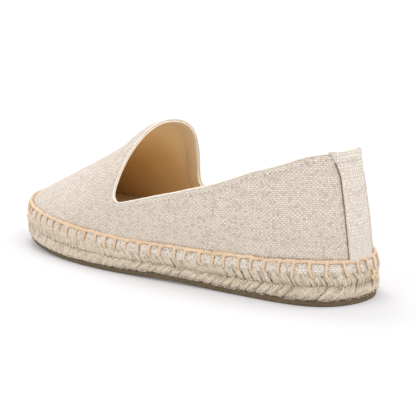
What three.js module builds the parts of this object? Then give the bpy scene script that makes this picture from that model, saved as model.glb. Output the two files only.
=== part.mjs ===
// Espadrille, left shoe: flat slip-on with a canvas upper sewn to a jute braid sole.
// All lengths are in millimetres. Inside this file a point is (s, t, z):
//   s  distance forward from the back of the heel, t  distance to the shoe's left, z  height over the floor.
// The finished group has the toe towards -Y, the shoe's left towards +X and +Z up.
import * as THREE from "three";

// ------------------------------------------------------------ driving sizes
const SOLE_LENGTH = 250; // back of heel to tip of toe, at the rubber
const BALL_WIDTH = 82.4; // widest part of the rubber
const WALL = 1.8; // canvas with its lining
const GAP = 0.3; // between neighbouring pieces
const RUBBER = 2.6; // thickness of the outsole
const BAND = 6.0; // canvas that laps down over the braid, under the cord line
const BAND_PROUD = 0.4; // how far that band stands out over the rubber's edge
const WALL_INSET = 1.5; // foot of the wall, inside the rubber's edge
const INSOLE = 2.3; // thickness of the insole
const ARCH_RISE = 1.1;
const TOE_SPRING = 7.1;
const NOTCH_LEFT = 140; // station of the throat's corner on the outer side
const NOTCH_RIGHT = 145.8; // and on the inner side
const TONGUE_TOP = 130.5; // station of the top of the tongue
const CORNER_RADIUS = { 1: 8, "-1": 9 }; // round in the throat's corners
const COLLAR_DROP = 1.5; // the collar lies this much lower on the inner side, near the throat
const HEEL_CREST = 34; // where the heel wall's columns lean to
const TOE_CREST = 232; // where the toe's columns run out
const STRIP_WIDTH = 16.6; // strip of canvas down the back seam
const STRIP_THICK = 0.9;
const STRIP_STEP = 0.75; // the strip's top edge over the topline

// Sine terms of the half width along the foot, as parts of the ball's half width.
const HALF_WIDTH = [1.048, -0.0746, 0.1236, 0.0363, 0.0267, 0.001];
// The midline's bend: linear, square and cubic part.
const BEND = { lean: -6.24, bow: -7.0, hook: -5.93 };
// Height of the cord that closes the wall: middle, slope, hollow.
const CORD = { mid: 18.44, slope: 4.01, hollow: 5.66 };

// The ridge of the last, seen from the side, with its shift to the left. A row per station.
const RIDGE = [
  { s: 34, z: 135, t: 0 },
  { s: 60, z: 122, t: 0 },
  { s: 90, z: 104, t: -1 },
  { s: 115, z: 88, t: -2.8 },
  { s: 129, z: 78.6, t: 1.3 },
  { s: 140, z: 75.6, t: -0.4 },
  { s: 152, z: 68.1, t: -1.6 },
  { s: 165, z: 61.3, t: -1.8 },
  { s: 180, z: 54.7, t: -1.9 },
  { s: 195, z: 48.8, t: -2.5 },
  { s: 210, z: 42.7, t: -3.0 },
  { s: 225, z: 36.5, t: -2.8 },
  { s: 232, z: 33.2, t: -2.2 },
];
// Sections of the last: angle at the foot of the wall, fullness of the wall and of the crown,
// for the outer side (left) and the inner side (right). A row per station of the wall's foot.
const SECTIONS = [
  { s: 0, angleL: 83, wallL: 0.5, crownL: 0.45, angleR: 83, wallR: 0.5, crownR: 0.45 },
  { s: 40, angleL: 86, wallL: 0.5, crownL: 0.45, angleR: 85, wallR: 0.5, crownR: 0.45 },
  { s: 80, angleL: 88, wallL: 0.5, crownL: 0.46, angleR: 82, wallR: 0.5, crownR: 0.48 },
  { s: 110, angleL: 90, wallL: 0.51, crownL: 0.47, angleR: 77, wallR: 0.51, crownR: 0.6 },
  { s: 137, angleL: 90.3, wallL: 0.53, crownL: 0.56, angleR: 73.7, wallR: 0.53, crownR: 0.78 },
  { s: 165, angleL: 75.4, wallL: 0.4, crownL: 0.53, angleR: 73.2, wallR: 0.434, crownR: 0.564 },
  { s: 195, angleL: 64, wallL: 0.45, crownL: 0.49, angleR: 64, wallR: 0.45, crownR: 0.49 },
  { s: 220, angleL: 54, wallL: 0.45, crownL: 0.45, angleR: 54, wallR: 0.45, crownR: 0.45 },
  { s: 240, angleL: 45, wallL: 0.45, crownL: 0.38, angleR: 45, wallR: 0.45, crownR: 0.38 },
  { s: 250, angleL: 42, wallL: 0.45, crownL: 0.36, angleR: 42, wallR: 0.45, crownR: 0.36 },
];
// Height of the collar's edge, from the heel to the throat's corner.
const TOPLINE = [
  { s: 0, z: 70.3 },
  { s: 4, z: 70.6 },
  { s: 8, z: 70.4 },
  { s: 11, z: 69.9 },
  { s: 15.5, z: 69.15 },
  { s: 21, z: 67.8 },
  { s: 27, z: 65.85 },
  { s: 34, z: 63.9 },
  { s: 41.5, z: 61.85 },
  { s: 50, z: 59.6 },
  { s: 58, z: 56.7 },
  { s: 67.3, z: 53.55 },
  { s: 76.8, z: 50.6 },
  { s: 86.7, z: 48.15 },
  { s: 96.8, z: 45.45 },
  { s: 107, z: 43.1 },
  { s: 117.5, z: 40.5 },
  { s: 128, z: 37.9 },
  { s: 138, z: 35.8 },
];
// Side of the braid, from the rubber up to the band: how far it stands out, and how high up it is.
const BRAID = [
  { out: -0.9, up: 0.0 },
  { out: 0.5, up: 0.12 },
  { out: 1.1, up: 0.3 },
  { out: 0.6, up: 0.52 },
  { out: 1.0, up: 0.76 },
  { out: 0.3, up: 1.0 },
];
const HEEL_COLUMNS = 22, // columns of the wall from the heel to the throat's corner, each side
  VAMP_COLUMNS = 22, // and from there to the toe
  WALL_ROWS = 6,
  VAMP_ROWS = 10,
  SOLE_STEPS = 44;

// ------------------------------------------------------------ helpers
const clamp = (x, a, b) => Math.min(b, Math.max(a, x));

// A smooth curve through a table's column, without overshoot.
function through(rows, column) {
  const x = rows.map((r) => r.s),
    y = rows.map((r) => r[column]),
    n = x.length;
  const h = [], d = [], m = new Array(n).fill(0);
  for (let i = 0; i < n - 1; i++) {
    h.push(x[i + 1] - x[i]);
    d.push((y[i + 1] - y[i]) / h[i]);
  }
  for (let i = 1; i < n - 1; i++)
    if (d[i - 1] * d[i] > 0) {
      const a = 2 * h[i] + h[i - 1], b = h[i] + 2 * h[i - 1];
      m[i] = (a + b) / (a / d[i - 1] + b / d[i]);
    }
  m[0] = d[0];
  m[n - 1] = d[n - 2];
  return (v) => {
    if (v <= x[0]) return y[0] + (v - x[0]) * m[0];
    if (v >= x[n - 1]) return y[n - 1] + (v - x[n - 1]) * m[n - 1];
    let k = 0;
    while (v > x[k + 1]) k++;
    const q = (v - x[k]) / h[k];
    return (
      (2 * q ** 3 - 3 * q * q + 1) * y[k] +
      (q ** 3 - 2 * q * q + q) * h[k] * m[k] +
      (3 * q * q - 2 * q ** 3) * y[k + 1] +
      (q ** 3 - q * q) * h[k] * m[k + 1]
    );
  };
}
// The smaller (or larger) of two numbers, eased over a width k.
function least(a, b, k) {
  const h = clamp(0.5 + (0.5 * (b - a)) / k, 0, 1);
  return b * (1 - h) + a * h - k * h * (1 - h);
}
const most = (a, b, k) => -least(-a, -b, k);

// ------------------------------------------------------------ the sole's lines
// The outline runs round with an angle: 0 at the heel, PI at the toe, the left side first.
const station = (phi) => (SOLE_LENGTH / 2) * (1 - Math.cos(phi));
function midline(s) {
  const u = s / SOLE_LENGTH - 0.5;
  return BEND.lean * u + BEND.bow * (4 * u * u - 1 / 3) + BEND.hook * 8 * u ** 3;
}
function rawOutline(phi) {
  const s = station(phi);
  const w = HALF_WIDTH.reduce((sum, c, k) => sum + c * Math.sin((k + 1) * phi), 0);
  return [s, midline(s) + (w * BALL_WIDTH) / 2];
}
function outline(phi, inset) {
  const [s, t] = rawOutline(phi), e = 1e-4;
  const [s2, t2] = rawOutline(phi + e), [s1, t1] = rawOutline(phi - e);
  const n = Math.hypot(s2 - s1, t2 - t1);
  return [s + ((t2 - t1) / n) * inset, t - ((s2 - s1) / n) * inset];
}
const cordHeight = (s) => {
  const u = s / SOLE_LENGTH - 0.5;
  return CORD.mid + CORD.slope * u + CORD.hollow * 4 * u * u;
};
// Underside: flat at the heel and under the ball, hollow at the arch, up at the toe.
function floorHeight(s) {
  const u = s / SOLE_LENGTH;
  const arch = Math.max(0, 1 - ((u - 0.39) / 0.17) ** 2) ** 2;
  const toe = clamp((u - 0.65) / 0.35, 0, 1) ** 1.85;
  return ARCH_RISE * arch + TOE_SPRING * toe;
}

// ------------------------------------------------------------ the upper's surface
const ridgeZ = through(RIDGE, "z"), ridgeT = through(RIDGE, "t"), topline = through(TOPLINE, "z");
const shape = {};
for (const key of ["angle", "wall", "crown"])
  for (const side of ["L", "R"]) shape[key + side] = through(SECTIONS, key + side);
const cornerAngle = (notch) => Math.acos(1 - (2 * notch) / SOLE_LENGTH);
const CORNER = { 1: cornerAngle(NOTCH_LEFT), "-1": cornerAngle(NOTCH_RIGHT) };

// A column of the upper: side 1 is the left, -1 the right; w runs -1 heel, 0 throat's corner, 1 toe.
function column(side, w) {
  const turn = (c) => (w < 0 ? c * (1 + w) : c + w * (Math.PI - c));
  const left = station(turn(CORNER[1]));
  const own = turn(CORNER[side]);
  const phi = side > 0 ? own : 2 * Math.PI - own;
  const back = NOTCH_LEFT - TONGUE_TOP;
  const lean =
    left > NOTCH_LEFT
      ? back * Math.exp(-(((left - NOTCH_LEFT) / 30) ** 2))
      : back * clamp((left - 60) / (NOTCH_LEFT - 60), 0, 1);
  const crest = most(least(left - lean, TOE_CREST, 30), HEEL_CREST, 30);
  return { phi, crest, left };
}
const ridgeSlope = (s) =>
  ((ridgeZ(s + 0.5) - ridgeZ(s - 0.5)) / 1) * clamp((s - TONGUE_TOP + 20) / 20, 0, 1);

// The upper's outer face: v runs 0 at the cord to 1 at the ridge.
function outer(side, w, v) {
  const { phi, crest } = column(side, w);
  const [s0, t0] = outline(phi, WALL_INSET);
  const foot = station(phi), z0 = cordHeight(foot);
  const toLeft = 0.5 + 0.5 * clamp(Math.sin(phi) / 0.25, -1, 1);
  const of = (key) => toLeft * shape[key + "L"](foot) + (1 - toLeft) * shape[key + "R"](foot);
  const t3 = midline(crest) + ridgeT(crest), z3 = ridgeZ(crest), slope = ridgeSlope(crest);
  const ds = crest - s0, dt = t3 - t0, run = Math.hypot(ds, dt), us = ds / run, ut = dt / run;
  const rise = z3 - z0, angle = (of("angle") * Math.PI) / 180;
  const a = of("wall") * rise, b = of("crown") * run;
  // round the throat the crown runs straight across, so that the tongue's edge is round from above
  const far = clamp(Math.abs(foot - NOTCH_LEFT) / 60, 0, 1), f = far * far * (3 - 2 * far);
  const across = Math.hypot(us * f, ut), cs = (us * f) / across, ct = ut / across;
  const p = [
    [s0, t0, z0],
    [s0 + us * a * Math.cos(angle), t0 + ut * a * Math.cos(angle), z0 + a * Math.sin(angle)],
    [crest - cs * b, t3 - ct * b, z3 - slope * cs * b],
    [crest, t3, z3],
  ];
  const q = 1 - v, c = [q ** 3, 3 * v * q * q, 3 * v * v * q, v ** 3];
  return [0, 1, 2].map((k) => c[0] * p[0][k] + c[1] * p[1][k] + c[2] * p[2][k] + c[3] * p[3][k]);
}
function outward(side, w, v) {
  if (v > 0.9999) {
    const g = ridgeSlope(column(side, w).crest), n = Math.hypot(g, 1);
    return [-g / n, 0, 1 / n];
  }
  const e = 1e-3, at = (a, b) => new THREE.Vector3(...outer(side, a, b));
  const along = at(w + e, v).sub(at(w - e, v)), up = at(w, v + e).sub(at(w, v - e));
  const n = side > 0 ? up.cross(along) : along.cross(up);
  n.normalize();
  return [n.x, n.y, n.z];
}
// The outer face moved outwards by d (inwards when d is negative).
function offset(side, w, v, d) {
  const p = outer(side, w, v), n = outward(side, w, v);
  return p.map((x, k) => x + d * n[k]);
}
// Height of the collar's edge at a column, with the round in the throat's corner.
function collarHeight(side, w) {
  const { left } = column(1, w), r = CORNER_RADIUS[side], d = clamp(NOTCH_LEFT - left, 0, r);
  const near = clamp((left - 50) / 40, 0, 1), drop = side < 0 ? COLLAR_DROP * near * near * (3 - 2 * near) : 0;
  return topline(left) - drop + r - Math.sqrt(r * r - (r - d) ** 2);
}
// The v at which a column reaches a height.
function reach(side, w, height) {
  let lo = 0, hi = 0.95;
  for (let i = 0; i < 40; i++) {
    const m = (lo + hi) / 2;
    if (outer(side, w, m)[2] < height) lo = m;
    else hi = m;
  }
  return (lo + hi) / 2;
}

// ------------------------------------------------------------ building solids
class Solid {
  constructor() {
    this.points = [];
    this.faces = [];
  }
  point(p) {
    this.points.push(p);
    return this.points.length - 1;
  }
  // A four sided face; repeated corners are dropped.
  quad(a, b, c, d) {
    const put = (i, j, k) => i !== j && j !== k && k !== i && this.faces.push(i, j, k);
    put(a, b, c);
    put(a, c, d);
  }
  mesh(name, color, roughness, place) {
    const flat = new Float32Array(this.points.length * 3);
    this.points.forEach((p, i) => flat.set(place(p), i * 3));
    const g = new THREE.BufferGeometry();
    g.setAttribute("position", new THREE.BufferAttribute(flat, 3));
    g.setIndex(this.faces);
    g.computeVertexNormals();
    const m = new THREE.Mesh(g, new THREE.MeshStandardMaterial({ color, roughness, metalness: 0 }));
    m.name = name;
    return m;
  }
}

// A slab that follows the sole's outline. Each row of the side gives an inset and a height for a station.
function slab(side) {
  const body = new Solid(), n = SOLE_STEPS, rows = side.length, ring = [];
  for (let i = 0; i < 2 * n; i++) {
    const phi = (Math.PI * i) / n, foot = station(phi);
    ring.push(side.map(({ inset, height }) => {
      const [s, t] = outline(phi, inset(foot));
      return body.point([s, t, height(foot)]);
    }));
  }
  for (let i = 0; i < 2 * n; i++) {
    const a = ring[i], b = ring[(i + 1) % (2 * n)];
    for (let k = 0; k < rows - 1; k++) body.quad(a[k], a[k + 1], b[k + 1], b[k]);
  }
  for (let i = 0; i < n; i++) {
    const j = (2 * n - i) % (2 * n), l = 2 * n - i - 1;
    body.quad(ring[i][0], ring[i + 1][0], ring[l][0], ring[j][0]);
    const top = rows - 1;
    body.quad(ring[j][top], ring[l][top], ring[i + 1][top], ring[i][top]);
  }
  return body;
}
const row = (inset, height) => ({ inset: typeof inset === "number" ? () => inset : inset, height });

function outsole() {
  return slab([
    row(0.3, floorHeight),
    row(0, (s) => floorHeight(s) + 0.4),
    row(0.2, (s) => floorHeight(s) + RUBBER),
  ]);
}

const braidFoot = (s) => floorHeight(s) + RUBBER + GAP;
const braidTop = (s) => cordHeight(s) - BAND - GAP;
function juteSole() {
  const core = WALL - BAND_PROUD + GAP; // the part inside the band
  return slab([
    ...BRAID.map(({ out, up }) => row(-out, (s) => braidFoot(s) + up * (braidTop(s) - braidFoot(s)))),
    row(core, braidTop),
    row(core, (s) => cordHeight(s) - 2.2),
  ]);
}

function insole() {
  const inset = (s) => 3.8 + 2.2 * clamp((s - 185) / 65, 0, 1) ** 2;
  return slab([
    row(inset, (s) => cordHeight(s) - 1.9),
    row(inset, (s) => cordHeight(s) - 1.9 + INSOLE),
  ]);
}

// The wall and vamp: one shell, open at the collar and underneath.
function upper() {
  const body = new Solid(), built = {};
  const ws = [];
  for (let q = 0; q < HEEL_COLUMNS; q++) ws.push(-((1 - q / HEEL_COLUMNS) ** 1.45));
  for (let p = 0; p <= VAMP_COLUMNS; p++) ws.push(p / VAMP_COLUMNS);
  const corner = HEEL_COLUMNS, last = ws.length - 1;
  for (const side of [1, -1]) {
    built[side] = ws.map((w, i) => {
      if (side < 0 && (i === 0 || i === last)) return built[1][i];
      const { phi } = column(side, w), foot = station(phi), z = cordHeight(foot);
      const top = reach(side, w < 0 ? w : 0, collarHeight(side, w < 0 ? w : 0));
      const vs = [];
      for (let j = 0; j <= WALL_ROWS; j++) vs.push((top * j) / WALL_ROWS);
      if (i >= corner)
        for (let j = 1; j <= VAMP_ROWS; j++) vs.push(top + ((1 - top) * j) / VAMP_ROWS);
      const at = (inset, dz) => {
        const [s, t] = outline(phi, inset);
        return body.point([s, t, z + dz]);
      };
      const crest = i >= corner && side < 0 ? vs.length - 1 : -1;
      const face = (d) => vs.map((v, j) =>
        j === crest ? built[1][i][d ? "inner" : "outer"][j + (d ? 2 : 3)] : body.point(offset(side, w, v, d)));
      return {
        outer: [at(-BAND_PROUD + 0.2, -BAND), at(-BAND_PROUD, -BAND / 2), at(-BAND_PROUD + 0.3, -0.9), ...face(0)],
        inner: [at(WALL - BAND_PROUD, -BAND), at(WALL - BAND_PROUD, -1.9), ...face(-WALL)],
      };
    });
    const cols = built[side];
    const quad = (a, b, c, d) => (side > 0 ? body.quad(a, b, c, d) : body.quad(d, c, b, a));
    for (let i = 0; i < last; i++) {
      const chain = (c) => [...c.inner].slice(0, 2 + WALL_ROWS + 1 + (i >= corner ? VAMP_ROWS : 0)).reverse()
        .concat(c.outer.slice(0, 3 + WALL_ROWS + 1 + (i >= corner ? VAMP_ROWS : 0)));
      const a = chain(cols[i]), b = chain(cols[i + 1]);
      for (let k = 0; k < a.length - 1; k++) quad(a[k], a[k + 1], b[k + 1], b[k]);
      if (i < corner) quad(a[a.length - 1], a[0], b[0], b[b.length - 1]);
    }
    const c = cols[corner];
    for (let j = WALL_ROWS; j < WALL_ROWS + VAMP_ROWS; j++)
      quad(c.outer[j + 4], c.outer[j + 3], c.inner[j + 2], c.inner[j + 3]);
  }
  return body;
}

// The strip over the back seam, cut from the upper's own face between two larger forms.
function heelStrip() {
  const body = new Solid(), across = 8, up = 10, cols = [];
  // how far round a column stands half the strip's width away from the heel's middle, at one height
  const edge = (side, v) => {
    const step = 0.002;
    let w = -1, far = 0, p = outer(side, -1, v);
    for (;;) {
      const q = outer(side, w + step, v), d = Math.hypot(q[0] - p[0], q[1] - p[1]);
      if (far + d > STRIP_WIDTH / 2) return w + (step * (STRIP_WIDTH / 2 - far)) / d + 1;
      far += d;
      w += step;
      p = q;
    }
  };
  const low = reach(1, -1, cordHeight(0) + 0.6), high = reach(1, -1, collarHeight(1, -1) + STRIP_STEP);
  const half = { 1: [], "-1": [] };
  for (const side of [1, -1])
    for (let j = 0; j <= up; j++) half[side].push(edge(side, low + ((high - low) * j) / up));
  for (let i = -across; i <= across; i++) {
    const side = i < 0 ? -1 : 1, col = { near: [], far: [] };
    for (let j = 0; j <= up; j++) {
      const w = -1 + (Math.abs(i) / across) * half[side][j];
      const from = reach(side, w, cordHeight(0) + 0.6), to = reach(side, w, collarHeight(side, w) + STRIP_STEP);
      const v = from + ((to - from) * j) / up;
      col.near.push(body.point(offset(side, w, v, GAP)));
      col.far.push(body.point(offset(side, w, v, GAP + STRIP_THICK)));
    }
    cols.push(col);
  }
  for (let i = 0; i < cols.length - 1; i++) {
    const a = cols[i], b = cols[i + 1];
    const ring = (c) => [...c.near].reverse().concat(c.far);
    const ra = ring(a), rb = ring(b), n = ra.length;
    for (let k = 0; k < n; k++) body.quad(ra[k], ra[(k + 1) % n], rb[(k + 1) % n], rb[k]);
  }
  for (const [c, flip] of [[cols[0], true], [cols[cols.length - 1], false]])
    for (let j = 0; j < up; j++) {
      const q = [c.near[j], c.near[j + 1], c.far[j + 1], c.far[j]];
      body.quad(...(flip ? q : q.reverse()));
    }
  return body;
}

// ------------------------------------------------------------ the group
const pieces = {
  outsole: [outsole(), 0x5a503c, 0.85],
  jute_sole: [juteSole(), 0xc8b999, 0.95],
  insole: [insole(), 0x9a7448, 0.8],
  upper: [upper(), 0xe1d7c8, 0.92],
  heel_strip: [heelStrip(), 0xe6ddd0, 0.92],
};
// The middle of the widest lines, so that the box stands centred.
const widest = pieces.jute_sole[0].points.map((p) => p[1]);
const CENTRE = (Math.max(...widest) + Math.min(...widest)) / 2;
const place = ([s, t, z]) => [t - CENTRE, SOLE_LENGTH / 2 - s, z];

const group = new THREE.Group();
group.name = "espadrille";
for (const [name, [body, color, roughness]] of Object.entries(pieces))
  group.add(body.mesh(name, color, roughness, place));
export default group;
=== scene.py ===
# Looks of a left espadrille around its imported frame. Lengths inside are millimetres along the shoe:
# s forward from the heel's back, t to the shoe's left, z up. place() turns them into the row frame in metres.
import math
import bpy
import numpy as np
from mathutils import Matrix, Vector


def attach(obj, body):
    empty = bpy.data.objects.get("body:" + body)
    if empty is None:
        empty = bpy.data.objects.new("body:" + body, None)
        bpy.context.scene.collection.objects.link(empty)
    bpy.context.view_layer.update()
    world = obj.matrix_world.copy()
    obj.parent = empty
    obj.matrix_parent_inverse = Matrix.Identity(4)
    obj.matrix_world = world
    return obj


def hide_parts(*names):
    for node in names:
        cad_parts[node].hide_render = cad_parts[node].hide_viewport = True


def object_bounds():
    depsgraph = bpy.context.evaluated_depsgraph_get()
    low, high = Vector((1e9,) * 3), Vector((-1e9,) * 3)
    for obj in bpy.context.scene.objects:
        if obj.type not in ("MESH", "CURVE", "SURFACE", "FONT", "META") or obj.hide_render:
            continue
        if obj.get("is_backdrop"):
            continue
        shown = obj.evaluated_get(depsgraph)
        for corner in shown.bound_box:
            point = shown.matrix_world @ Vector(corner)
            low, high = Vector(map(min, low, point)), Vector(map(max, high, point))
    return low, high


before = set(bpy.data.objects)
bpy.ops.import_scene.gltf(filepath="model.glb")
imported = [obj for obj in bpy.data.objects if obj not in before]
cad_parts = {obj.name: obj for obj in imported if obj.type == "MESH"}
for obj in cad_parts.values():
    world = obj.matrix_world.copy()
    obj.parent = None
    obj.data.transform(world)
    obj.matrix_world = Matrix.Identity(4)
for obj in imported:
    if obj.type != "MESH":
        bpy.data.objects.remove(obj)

cad_box = [list(map(float, c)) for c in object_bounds()]
rng = np.random.default_rng(11)
PI = math.pi

# ---------------------------------------------------------------- sizes of the shoe (as in the CAD)
LENGTH, BALL_WIDTH, WALL, RUBBER, GAP = 250.0, 82.4, 1.8, 2.6, 0.3
BAND, BAND_PROUD, WALL_INSET = 6.0, 0.4, 1.5
NOTCH_LEFT, NOTCH_RIGHT, TONGUE_TOP, CORNER_RADIUS, COLLAR_DROP = 140.0, 145.8, 130.5, {1: 8.0, -1: 9.0}, 1.5
HEEL_CREST, TOE_CREST = 34.0, 232.0
HALF_WIDTH = (1.048, -0.0746, 0.1236, 0.0363, 0.0267, 0.001)
RIDGE_S = (34, 60, 90, 115, 129, 140, 152, 165, 180, 195, 210, 225, 232)
RIDGE_Z = (135, 122, 104, 88, 78.6, 75.6, 68.1, 61.3, 54.7, 48.8, 42.7, 36.5, 33.2)
RIDGE_T = (0, 0, -1, -2.8, 1.3, -0.4, -1.6, -1.8, -1.9, -2.5, -3.0, -2.8, -2.2)
SEC_S = (0, 40, 80, 110, 137, 165, 195, 220, 240, 250)
SEC = dict(
    angleL=(83, 86, 88, 90, 90.3, 75.4, 64, 54, 45, 42),
    wallL=(0.5, 0.5, 0.5, 0.51, 0.53, 0.4, 0.45, 0.45, 0.45, 0.45),
    crownL=(0.45, 0.45, 0.46, 0.47, 0.56, 0.53, 0.49, 0.45, 0.38, 0.36),
    angleR=(83, 85, 82, 77, 73.7, 73.2, 64, 54, 45, 42),
    wallR=(0.5, 0.5, 0.5, 0.51, 0.53, 0.434, 0.45, 0.45, 0.45, 0.45),
    crownR=(0.45, 0.45, 0.48, 0.6, 0.78, 0.564, 0.49, 0.45, 0.38, 0.36),
)
TOP_S = (0, 4, 8, 11, 15.5, 21, 27, 34, 41.5, 50, 58, 67.3, 76.8, 86.7, 96.8, 107, 117.5, 128, 138)
TOP_Z = (70.3, 70.6, 70.4, 69.9, 69.15, 67.8, 65.85, 63.9, 61.85, 59.6, 56.7, 53.55, 50.6, 48.15, 45.45, 43.1, 40.5, 37.9, 35.8)
STITCH, STITCH_0 = 8.02, -3.47  # pitch of the blanket stitch, and where it starts from the heel's middle


def through(xs, ys):
    """A smooth curve through a table's column, without overshoot."""
    x, y = np.array(xs, float), np.array(ys, float)
    h = np.diff(x)
    d = np.diff(y) / h
    m = np.zeros(len(x))
    for i in range(1, len(x) - 1):
        if d[i - 1] * d[i] > 0:
            a, b = 2 * h[i] + h[i - 1], h[i] + 2 * h[i - 1]
            m[i] = (a + b) / (a / d[i - 1] + b / d[i])
    m[0], m[-1] = d[0], d[-1]

    def f(v):
        v = np.asarray(v, float)
        c = np.clip(v, x[0], x[-1])
        k = np.clip(np.searchsorted(x, c, side="left") - 1, 0, len(h) - 1)
        q = (c - x[k]) / h[k]
        r = ((2 * q**3 - 3 * q * q + 1) * y[k] + (q**3 - 2 * q * q + q) * h[k] * m[k]
             + (3 * q * q - 2 * q**3) * y[k + 1] + (q**3 - q * q) * h[k] * m[k + 1])
        return r + np.where(v < x[0], (v - x[0]) * m[0], 0) + np.where(v > x[-1], (v - x[-1]) * m[-1], 0)
    return f


def least(a, b, k):
    h = np.clip(0.5 + 0.5 * (b - a) / k, 0, 1)
    return b * (1 - h) + a * h - k * h * (1 - h)


def most(a, b, k):
    return -least(-a, -b, k)


def ease(x):
    x = np.clip(x, 0, 1)
    return x * x * (3 - 2 * x)


def station(phi):
    return LENGTH / 2 * (1 - np.cos(phi))


def midline(s):
    u = s / LENGTH - 0.5
    return -6.24 * u - 7.0 * (4 * u * u - 1 / 3) - 5.93 * 8 * u**3


def raw_outline(phi):
    w = sum(c * np.sin((k + 1) * phi) for k, c in enumerate(HALF_WIDTH))
    return station(phi), midline(station(phi)) + w * BALL_WIDTH / 2


def outline(phi, inset=0.0):
    phi = np.asarray(phi, float)
    s, t = raw_outline(phi)
    s2, t2 = raw_outline(phi + 1e-4)
    s1, t1 = raw_outline(phi - 1e-4)
    n = np.hypot(s2 - s1, t2 - t1)
    ns, nt = -(t2 - t1) / n, (s2 - s1) / n
    return s - ns * inset, t - nt * inset, ns, nt


def cord_z(s):
    u = s / LENGTH - 0.5
    return 18.44 + 4.01 * u + 5.66 * 4 * u * u - 1.7 * np.clip((18 - np.asarray(s, float)) / 18, 0, 1) ** 1.4


def floor_z(s):
    u = s / LENGTH
    return 1.1 * np.maximum(0, 1 - ((u - 0.39) / 0.17) ** 2) ** 2 + 7.1 * np.clip((u - 0.65) / 0.35, 0, 1) ** 1.85


ridge_z, ridge_t, topline = through(RIDGE_S, RIDGE_Z), through(RIDGE_S, RIDGE_T), through(TOP_S, TOP_Z)
shape = {k: through(SEC_S, v) for k, v in SEC.items()}
CORNER = {1: math.acos(1 - 2 * NOTCH_LEFT / LENGTH), -1: math.acos(1 - 2 * NOTCH_RIGHT / LENGTH)}


def column(side, w):
    def turn(c):
        return np.where(w < 0, c * (1 + w), c + w * (PI - c))
    left, own = station(turn(CORNER[1])), turn(CORNER[side])
    phi = own if side > 0 else 2 * PI - own
    back = NOTCH_LEFT - TONGUE_TOP
    lean = np.where(left > NOTCH_LEFT, back * np.exp(-(((left - NOTCH_LEFT) / 30) ** 2)),
                    back * np.clip((left - 60) / (NOTCH_LEFT - 60), 0, 1))
    return phi, most(least(left - lean, TOE_CREST, 30), HEEL_CREST, 30), left


def ridge_slope(s):
    return (ridge_z(s + 0.5) - ridge_z(s - 0.5)) * np.clip((s - TONGUE_TOP + 20) / 20, 0, 1)


def outer(side, w, v):
    """The upper's outer face: w runs -1 heel, 0 throat's corner, 1 toe; v runs 0 at the cord to 1 at the ridge."""
    w, v = np.broadcast_arrays(np.asarray(w, float), np.asarray(v, float))
    phi, crest, _ = column(side, w)
    s0, t0, _, _ = outline(phi, WALL_INSET)
    foot = station(phi)
    z0 = cord_z(foot)
    left = 0.5 + 0.5 * np.clip(np.sin(phi) / 0.25, -1, 1)
    of = lambda key: left * shape[key + "L"](foot) + (1 - left) * shape[key + "R"](foot)
    t3, z3, slope = midline(crest) + ridge_t(crest), ridge_z(crest), ridge_slope(crest)
    ds, dt = crest - s0, t3 - t0
    run = np.hypot(ds, dt)
    us, ut = ds / run, dt / run
    angle, a, b = np.radians(of("angle")), of("wall") * (z3 - z0), of("crown") * run
    f = ease(np.abs(foot - NOTCH_LEFT) / 60)
    across = np.hypot(us * f, ut)
    cs, ct = us * f / across, ut / across
    p0 = (s0, t0, z0)
    p1 = (s0 + us * a * np.cos(angle), t0 + ut * a * np.cos(angle), z0 + a * np.sin(angle))
    p2 = (crest - cs * b, t3 - ct * b, z3 - slope * cs * b)
    p3 = (crest, t3, z3)
    q = 1 - v
    c = (q**3, 3 * v * q * q, 3 * v * v * q, v**3)
    return np.stack([c[0] * p0[k] + c[1] * p1[k] + c[2] * p2[k] + c[3] * p3[k] for k in range(3)], -1)


def outward(side, w, v):
    w, v = np.broadcast_arrays(np.asarray(w, float), np.asarray(v, float))
    e = 1e-3
    along, up = outer(side, w + e, v) - outer(side, w - e, v), outer(side, w, v + e) - outer(side, w, v - e)
    n = np.cross(up, along) if side > 0 else np.cross(along, up)
    n /= np.maximum(np.linalg.norm(n, axis=-1, keepdims=True), 1e-12)
    g = ridge_slope(column(side, w)[1])
    h = np.hypot(g, 1)
    top = np.stack([-g / h, 0 * g, 1 / h], -1)
    return np.where((v > 0.9999)[..., None], top, n)


def collar_z(side, w):
    left, r = column(1, np.asarray(w, float))[2], CORNER_RADIUS[side]
    d = np.clip(NOTCH_LEFT - left, 0, r)
    drop = COLLAR_DROP * ease((left - 50) / 40) if side < 0 else 0
    return topline(left) - drop + r - np.sqrt(r * r - (r - d) ** 2)


def reach(side, w, height):
    w = np.asarray(w, float)
    lo, hi = np.zeros_like(w), np.full_like(w, 0.95)
    for _ in range(36):
        m = (lo + hi) / 2
        low = outer(side, w, m)[..., 2] < height
        lo, hi = np.where(low, m, lo), np.where(low, hi, m)
    return (lo + hi) / 2


# the sole's outline by distance round it, from the heel's middle along the left side
_phi = np.linspace(0, 2 * PI, 6001)
_s, _t = raw_outline(_phi)
_arc = np.concatenate([[0], np.cumsum(np.hypot(np.diff(_s), np.diff(_t)))])
ROUND = float(_arc[-1])
CENTRE = float((_t.max() + _t.min()) / 2)


def round_at(l):
    """Angle of the outline at distance l round it."""
    return np.interp(np.mod(l, ROUND), _arc, _phi)


def side_point(l, out, z):
    """A point out from the sole's outline, at distance l round it and height z."""
    l, out, z = np.broadcast_arrays(l, out, z)
    s, t, ns, nt = outline(round_at(l), 0.0)
    return np.stack([s + ns * out, t + nt * out, z], -1)


def side_out(l):
    _, _, ns, nt = outline(round_at(l), 0.0)
    return np.stack([ns, nt, 0 * ns], -1)


def place(p):
    p = np.asarray(p, float)
    return np.stack([(p[..., 1] - CENTRE) / 1000, (LENGTH / 2 - p[..., 0]) / 1000, p[..., 2] / 1000], -1)


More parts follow.
